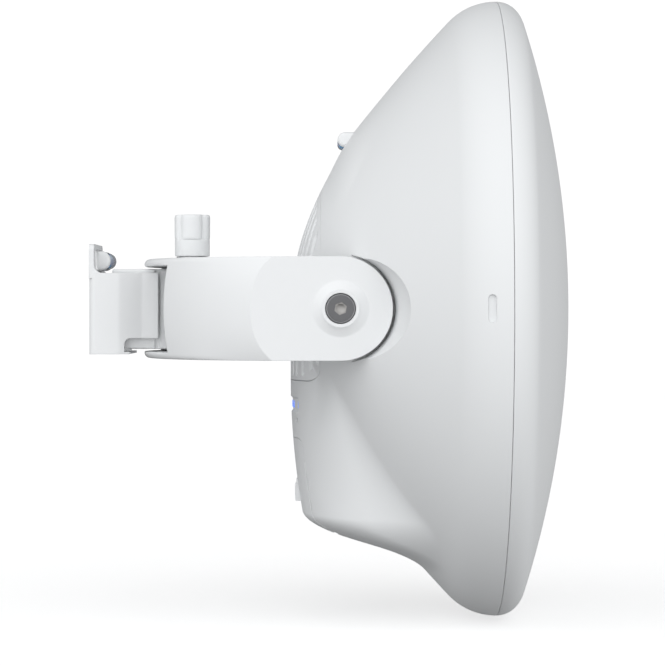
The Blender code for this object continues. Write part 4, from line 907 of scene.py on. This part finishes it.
def make_hub():
    """Drum round the swivel axis, its flanges softened, and the neck into the bracket."""
    drum = mm([
        (-28.4, 0), (-28.4, 20.3), (-28.0, 21.0), (-27.2, 21.7), (-26.3, 22), (-20.4, 22), (-19.6, 21.8),
        (-18.4, 21.2), (-17.6, 21), (16.6, 21), (17.4, 21.2), (18.6, 21.8), (19.4, 22), (24.9, 22),
        (26.2, 21.6), (27.1, 20.8), (27.5, 19.5), (27.5, 0),
    ])
    hub = turned("hub_drum", drum, "Z", (SWIVEL_X, 0), 128)
    neck = box("neck", (14.6 * MM, -25.5 * MM, -27 * MM), (60 * MM, 25.5 * MM, 26.5 * MM), 1.6 * MM, 3 * MM)
    groove = box("groove", (43 * MM, -40 * MM, -40 * MM), (47 * MM, -24.3 * MM, 40 * MM), 0, 1.5 * MM)
    cut(neck, *both_sides(groove))
    join(hub, neck)
    cut(hub, rod("hub_bore", -40 * MM, 40 * MM, 8 * MM, "Z", (SWIVEL_X, 0), 64))
    cut(hub, *[screw_profile(f"neck_hole_{k}", z, 0.3) for k, z in enumerate(NECK_SCREWS_Z)])
    return place(smooth(hub, 24), "bracket", "paint", "swivel_hub")


# ---------------------------------------------------------------- levels

HOLDER_HALF, VIAL_HALF, VIAL_SPACE_HALF, FLUID_HALF, GLASS = 16, 13, 13.3, 11.6, 0.9
LEVEL_XZ, LEVEL_R, LEVEL_VIAL_XZ = (170.4 * MM, 113.5 * MM), 5.1 * MM, (168.8 * MM, 111.4 * MM)


def barrel(name, half, radius, center, rim=1.0):
    """A tube along Y whose ends are rounded off over a rim width, sizes in millimetres."""
    turns = np.linspace(0, math.pi / 2, 6)
    ends = [(half - rim * (1 - math.sin(a)), radius - rim * (1 - math.cos(a))) for a in turns]
    profile = [(-half, 0)] + [(-y, r) for y, r in ends[::-1]] + ends + [(half, 0)]
    return turned(name, mm(profile), "Y", center, 72)


def place_level(name, body, holder, center, radius):
    """Finishes a level: holder, clear vial and the coloured fluid inside it."""
    place(smooth(holder, 24), body, "holder", name + "_holder")
    place(smooth(barrel(name + "_glass", VIAL_HALF, radius, center), 30), body, "vial", name + "_vial")
    place(smooth(barrel(name + "_fluid", FLUID_HALF, radius - GLASS, center), 30), body, "fluid")


def make_bracket_level():
    """The level on the bracket's ear: a round-nosed holder, open in front where the vial shows."""
    base, side, middle, half = 3.7, 6.3, 32, 6.5
    turns = np.linspace(-1.56, 1.56, 33)
    nose = [(side + half * math.cos(a)**0.85, middle + half * math.sin(a)) for a in turns]
    outline = [(base, middle - half), (side, middle - half)] + nose[1:-1]
    outline = mm(outline + [(side, middle + half), (base, middle + half)])
    holder = prism("bracket_level_body", outline, -HOLDER_HALF * MM, HOLDER_HALF * MM, "Y", 1.8 * MM, 6)
    center = ((base + 5.5) * MM, middle * MM)
    cut(holder, rod("trough", -VIAL_SPACE_HALF * MM, VIAL_SPACE_HALF * MM, 5.7 * MM, "Y", center, 72))
    place_level("bracket_level", "bracket", holder, center, 5.4)


def dish_level_body(name, grow, edge=0.0):
    x, z = LEVEL_XZ
    radius, half = LEVEL_R + grow, HOLDER_HALF * MM + grow
    outline = arc(LEVEL_XZ, radius, 90, 270, 40) + [(x + 12 * MM, z - radius), (x + 12 * MM, z + radius)]
    return prism(name, outline, -half, half, "Y", edge, 6)


def dish_level_space(name):
    return rod(name, -VIAL_SPACE_HALF * MM, VIAL_SPACE_HALF * MM, 3.9 * MM, "Y", LEVEL_VIAL_XZ, 64)


def make_dish_level():
    """The level let into the dome: its holder follows the dome and leaves the vial open underneath."""
    holder = dish_level_body("dish_level_body", 0.0, 2.2 * MM)
    cut(holder, dish_level_space("dish_trough"))
    cut(holder, housing_core("dish_seat", 1.9 * MM))
    place_level("dish_level", "dish", holder, LEVEL_VIAL_XZ, 3.6)


# ---------------------------------------------------------------- small fittings

def make_lights():
    """Status bars with rounded ends, each a little below the recess, and the reset button."""
    low, high = (148 * MM, -34 * MM, -66 * MM), (151 * MM, 34 * MM, -62 * MM)
    strip = box("strip", low, high, 0.3 * MM, 0.5 * MM, "X")
    bars = []
    for index, y in enumerate(LIGHTS_Y):
        face = float(back_x(y, -64 * MM)) + 0.8 * MM
        low, high = (face, y - 1.0 * MM, -66.4 * MM), (150 * MM, y + 1.0 * MM, -61.6 * MM)
        bars.append(box(f"bar_{index}", low, high, 0.25 * MM, 0.95 * MM, "X"))
    pipe = join(strip, *bars)
    pipe.name = "status_lights"
    place(smooth(pipe, 30), "dish", "light", "light_pipe")
    face = float(back_x(*BUTTON_YZ)) + 0.5 * MM
    profile = [(face + 0.25 * MM, 0), (face, 0.7 * MM), (face, 1.2 * MM), (face + 0.3 * MM, 1.5 * MM)]
    profile += mm([(144.2, 1.5), (144.2, 3), (145.4, 3), (145.4, 1.5), (155, 1.5), (155, 0)])
    button = turned("button_pin", profile, "X", BUTTON_YZ, 40)
    place(smooth(button), "reset_button", "dark_plastic", "reset_button")


def make_grommet():
    """A rubber bush with rounded lips, which ends just inside the housing's back surface."""
    profile = mm([(-155, 3.2), (-142, 3.2), (-141.3, 3.4), (-141, 3.8), (-141, 5.5), (-141.5, 6.0),
                  (-155, 6.0)])
    bush = turned("cable_bush", profile, "Z", (GROMMET_X, 0), 72, closed=True)
    keep(bush, housing_core("bush_end", 0.4 * MM))
    return place(smooth(bush, 40), "port_cover", "rubber", "cable_grommet")


CAD_FINISHES = {
    "bright": ("hub_screw_upper", "hub_screw_lower", "clamp_nut", "knob_stud", "pivot_insert_left",
               "pivot_insert_right", "board_screw_1", "board_screw_2", "board_screw_3", "board_screw_4"),
    "dark_plastic": ("swivel_bush", "pivot_washer_left", "pivot_washer_right", "feed_support", "vent_plug"),
    "rubber": ("rim_seal", "port_gasket"),
    "sheet": ("reflector", "feed_tube", "sub_reflector"),
    "board": ("radio_board",),
    "tin": ("rf_shield", "ethernet_jack", "sfp_cage", "power_jack"),
    "pad": ("thermal_pad",),
    "brass": ("ground_screw",),
}


def finish_cad_nodes():
    for finish, names in CAD_FINISHES.items():
        for name in names:
            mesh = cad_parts[name].data
            mesh.materials.clear()
            mesh.materials.append(FINISH[finish])


# ---------------------------------------------------------------- studio and camera

FLOOR_Z, FLOOR_THICK, FLOOR_REACH = -0.2077, 0.0498, 6
FLOOR_GLOW, BACKDROP = 0.57, 1.05
CAMERA_AT, LENS, SENSOR, SHIFT_Y = (0.1619, -1.789, 0.0), 143.0, 36.0, -0.036


def make_studio():
    bpy.context.scene.view_settings.view_transform = "Standard"
    make_world()
    low, high = (-FLOOR_REACH, -FLOOR_REACH, FLOOR_Z - FLOOR_THICK), (FLOOR_REACH, FLOOR_REACH, FLOOR_Z)
    floor = box("floor", low, high)
    material, tree, shader = new_material("floor_paper")
    coords = object_coords(tree)
    camera_ray = node(tree, "ShaderNodeLightPath").outputs["Is Camera Ray"]
    fill(tree, shader, {
        "Base Color": ramp(tree, noise(tree, coords, 40), 0.69, 0.71),
        "Roughness": ramp(tree, noise(tree, coords, 300), 0.55, 0.6),
        "Emission Color": (1, 1, 1, 1),
        "Emission Strength": maths(tree, "MULTIPLY", camera_ray, FLOOR_GLOW),
    })
    bump(tree, shader, noise(tree, coords, 900), 0.02 * MM, 0.3)
    floor.data.materials.append(material)
    floor.visible_diffuse = False
    floor.visible_glossy = False


# Brightness of the studio by direction d: SKY_EVEN + SKY_SLOPE . d + d . SKY_BEND d
SKY_EVEN, SKY_LEAST = 0.224, 0.02
SKY_SLOPE = (0.016, -0.542, 0.334)
SKY_BEND = ((0.590, 0.086, -0.210), (0.086, 0.531, -0.270), (-0.210, -0.270, 0.0))
SKY_TINT = (0.990, 1.0, 1.009, 1)


def make_world():
    """White backdrop for the camera, and a smooth studio that lights the object."""
    world = bpy.data.worlds.new("studio")
    world.use_nodes = True
    bpy.context.scene.world = world
    tree = world.node_tree
    tree.nodes.clear()
    direction = node(tree, "ShaderNodeTexCoord").outputs["Generated"]

    def dot(a, b):
        return node(tree, "ShaderNodeVectorMath", {0: a, 1: b}, operation="DOT_PRODUCT").outputs["Value"]

    bent = node(tree, "ShaderNodeCombineXYZ", enumerate([dot(direction, row) for row in SKY_BEND]))
    curve = dot(direction, bent.outputs["Vector"])
    level = maths(tree, "ADD", maths(tree, "ADD", curve, dot(direction, SKY_SLOPE)), SKY_EVEN)
    light = {"Color": SKY_TINT, "Strength": maths(tree, "MAXIMUM", level, SKY_LEAST)}
    soft = node(tree, "ShaderNodeBackground", light)
    white = node(tree, "ShaderNodeBackground", {"Color": (1, 1, 1, 1), "Strength": BACKDROP})
    camera_ray = node(tree, "ShaderNodeLightPath").outputs["Is Camera Ray"]
    choice = {0: camera_ray, 1: soft.outputs["Background"], 2: white.outputs["Background"]}
    mix = node(tree, "ShaderNodeMixShader", choice)
    node(tree, "ShaderNodeOutputWorld", {"Surface": mix.outputs["Shader"]})


def make_camera():
    data = bpy.data.cameras.new("camera")
    data.lens, data.sensor_width, data.shift_y = LENS, SENSOR, SHIFT_Y
    camera = bpy.data.objects.new("camera", data)
    camera.location = CAMERA_AT
    camera.rotation_euler = (math.pi / 2, 0, 0)
    bpy.context.scene.collection.objects.link(camera)
    bpy.context.scene.camera = camera


make_shell()
make_radome()
make_panel()
make_cover()
make_latch()
make_yoke()
make_pivot_bolts()
make_washer()
make_knob()
make_bracket()
make_hub()
make_lights()
make_grommet()
make_bracket_level()
make_dish_level()
finish_cad_nodes()
make_studio()
make_camera()
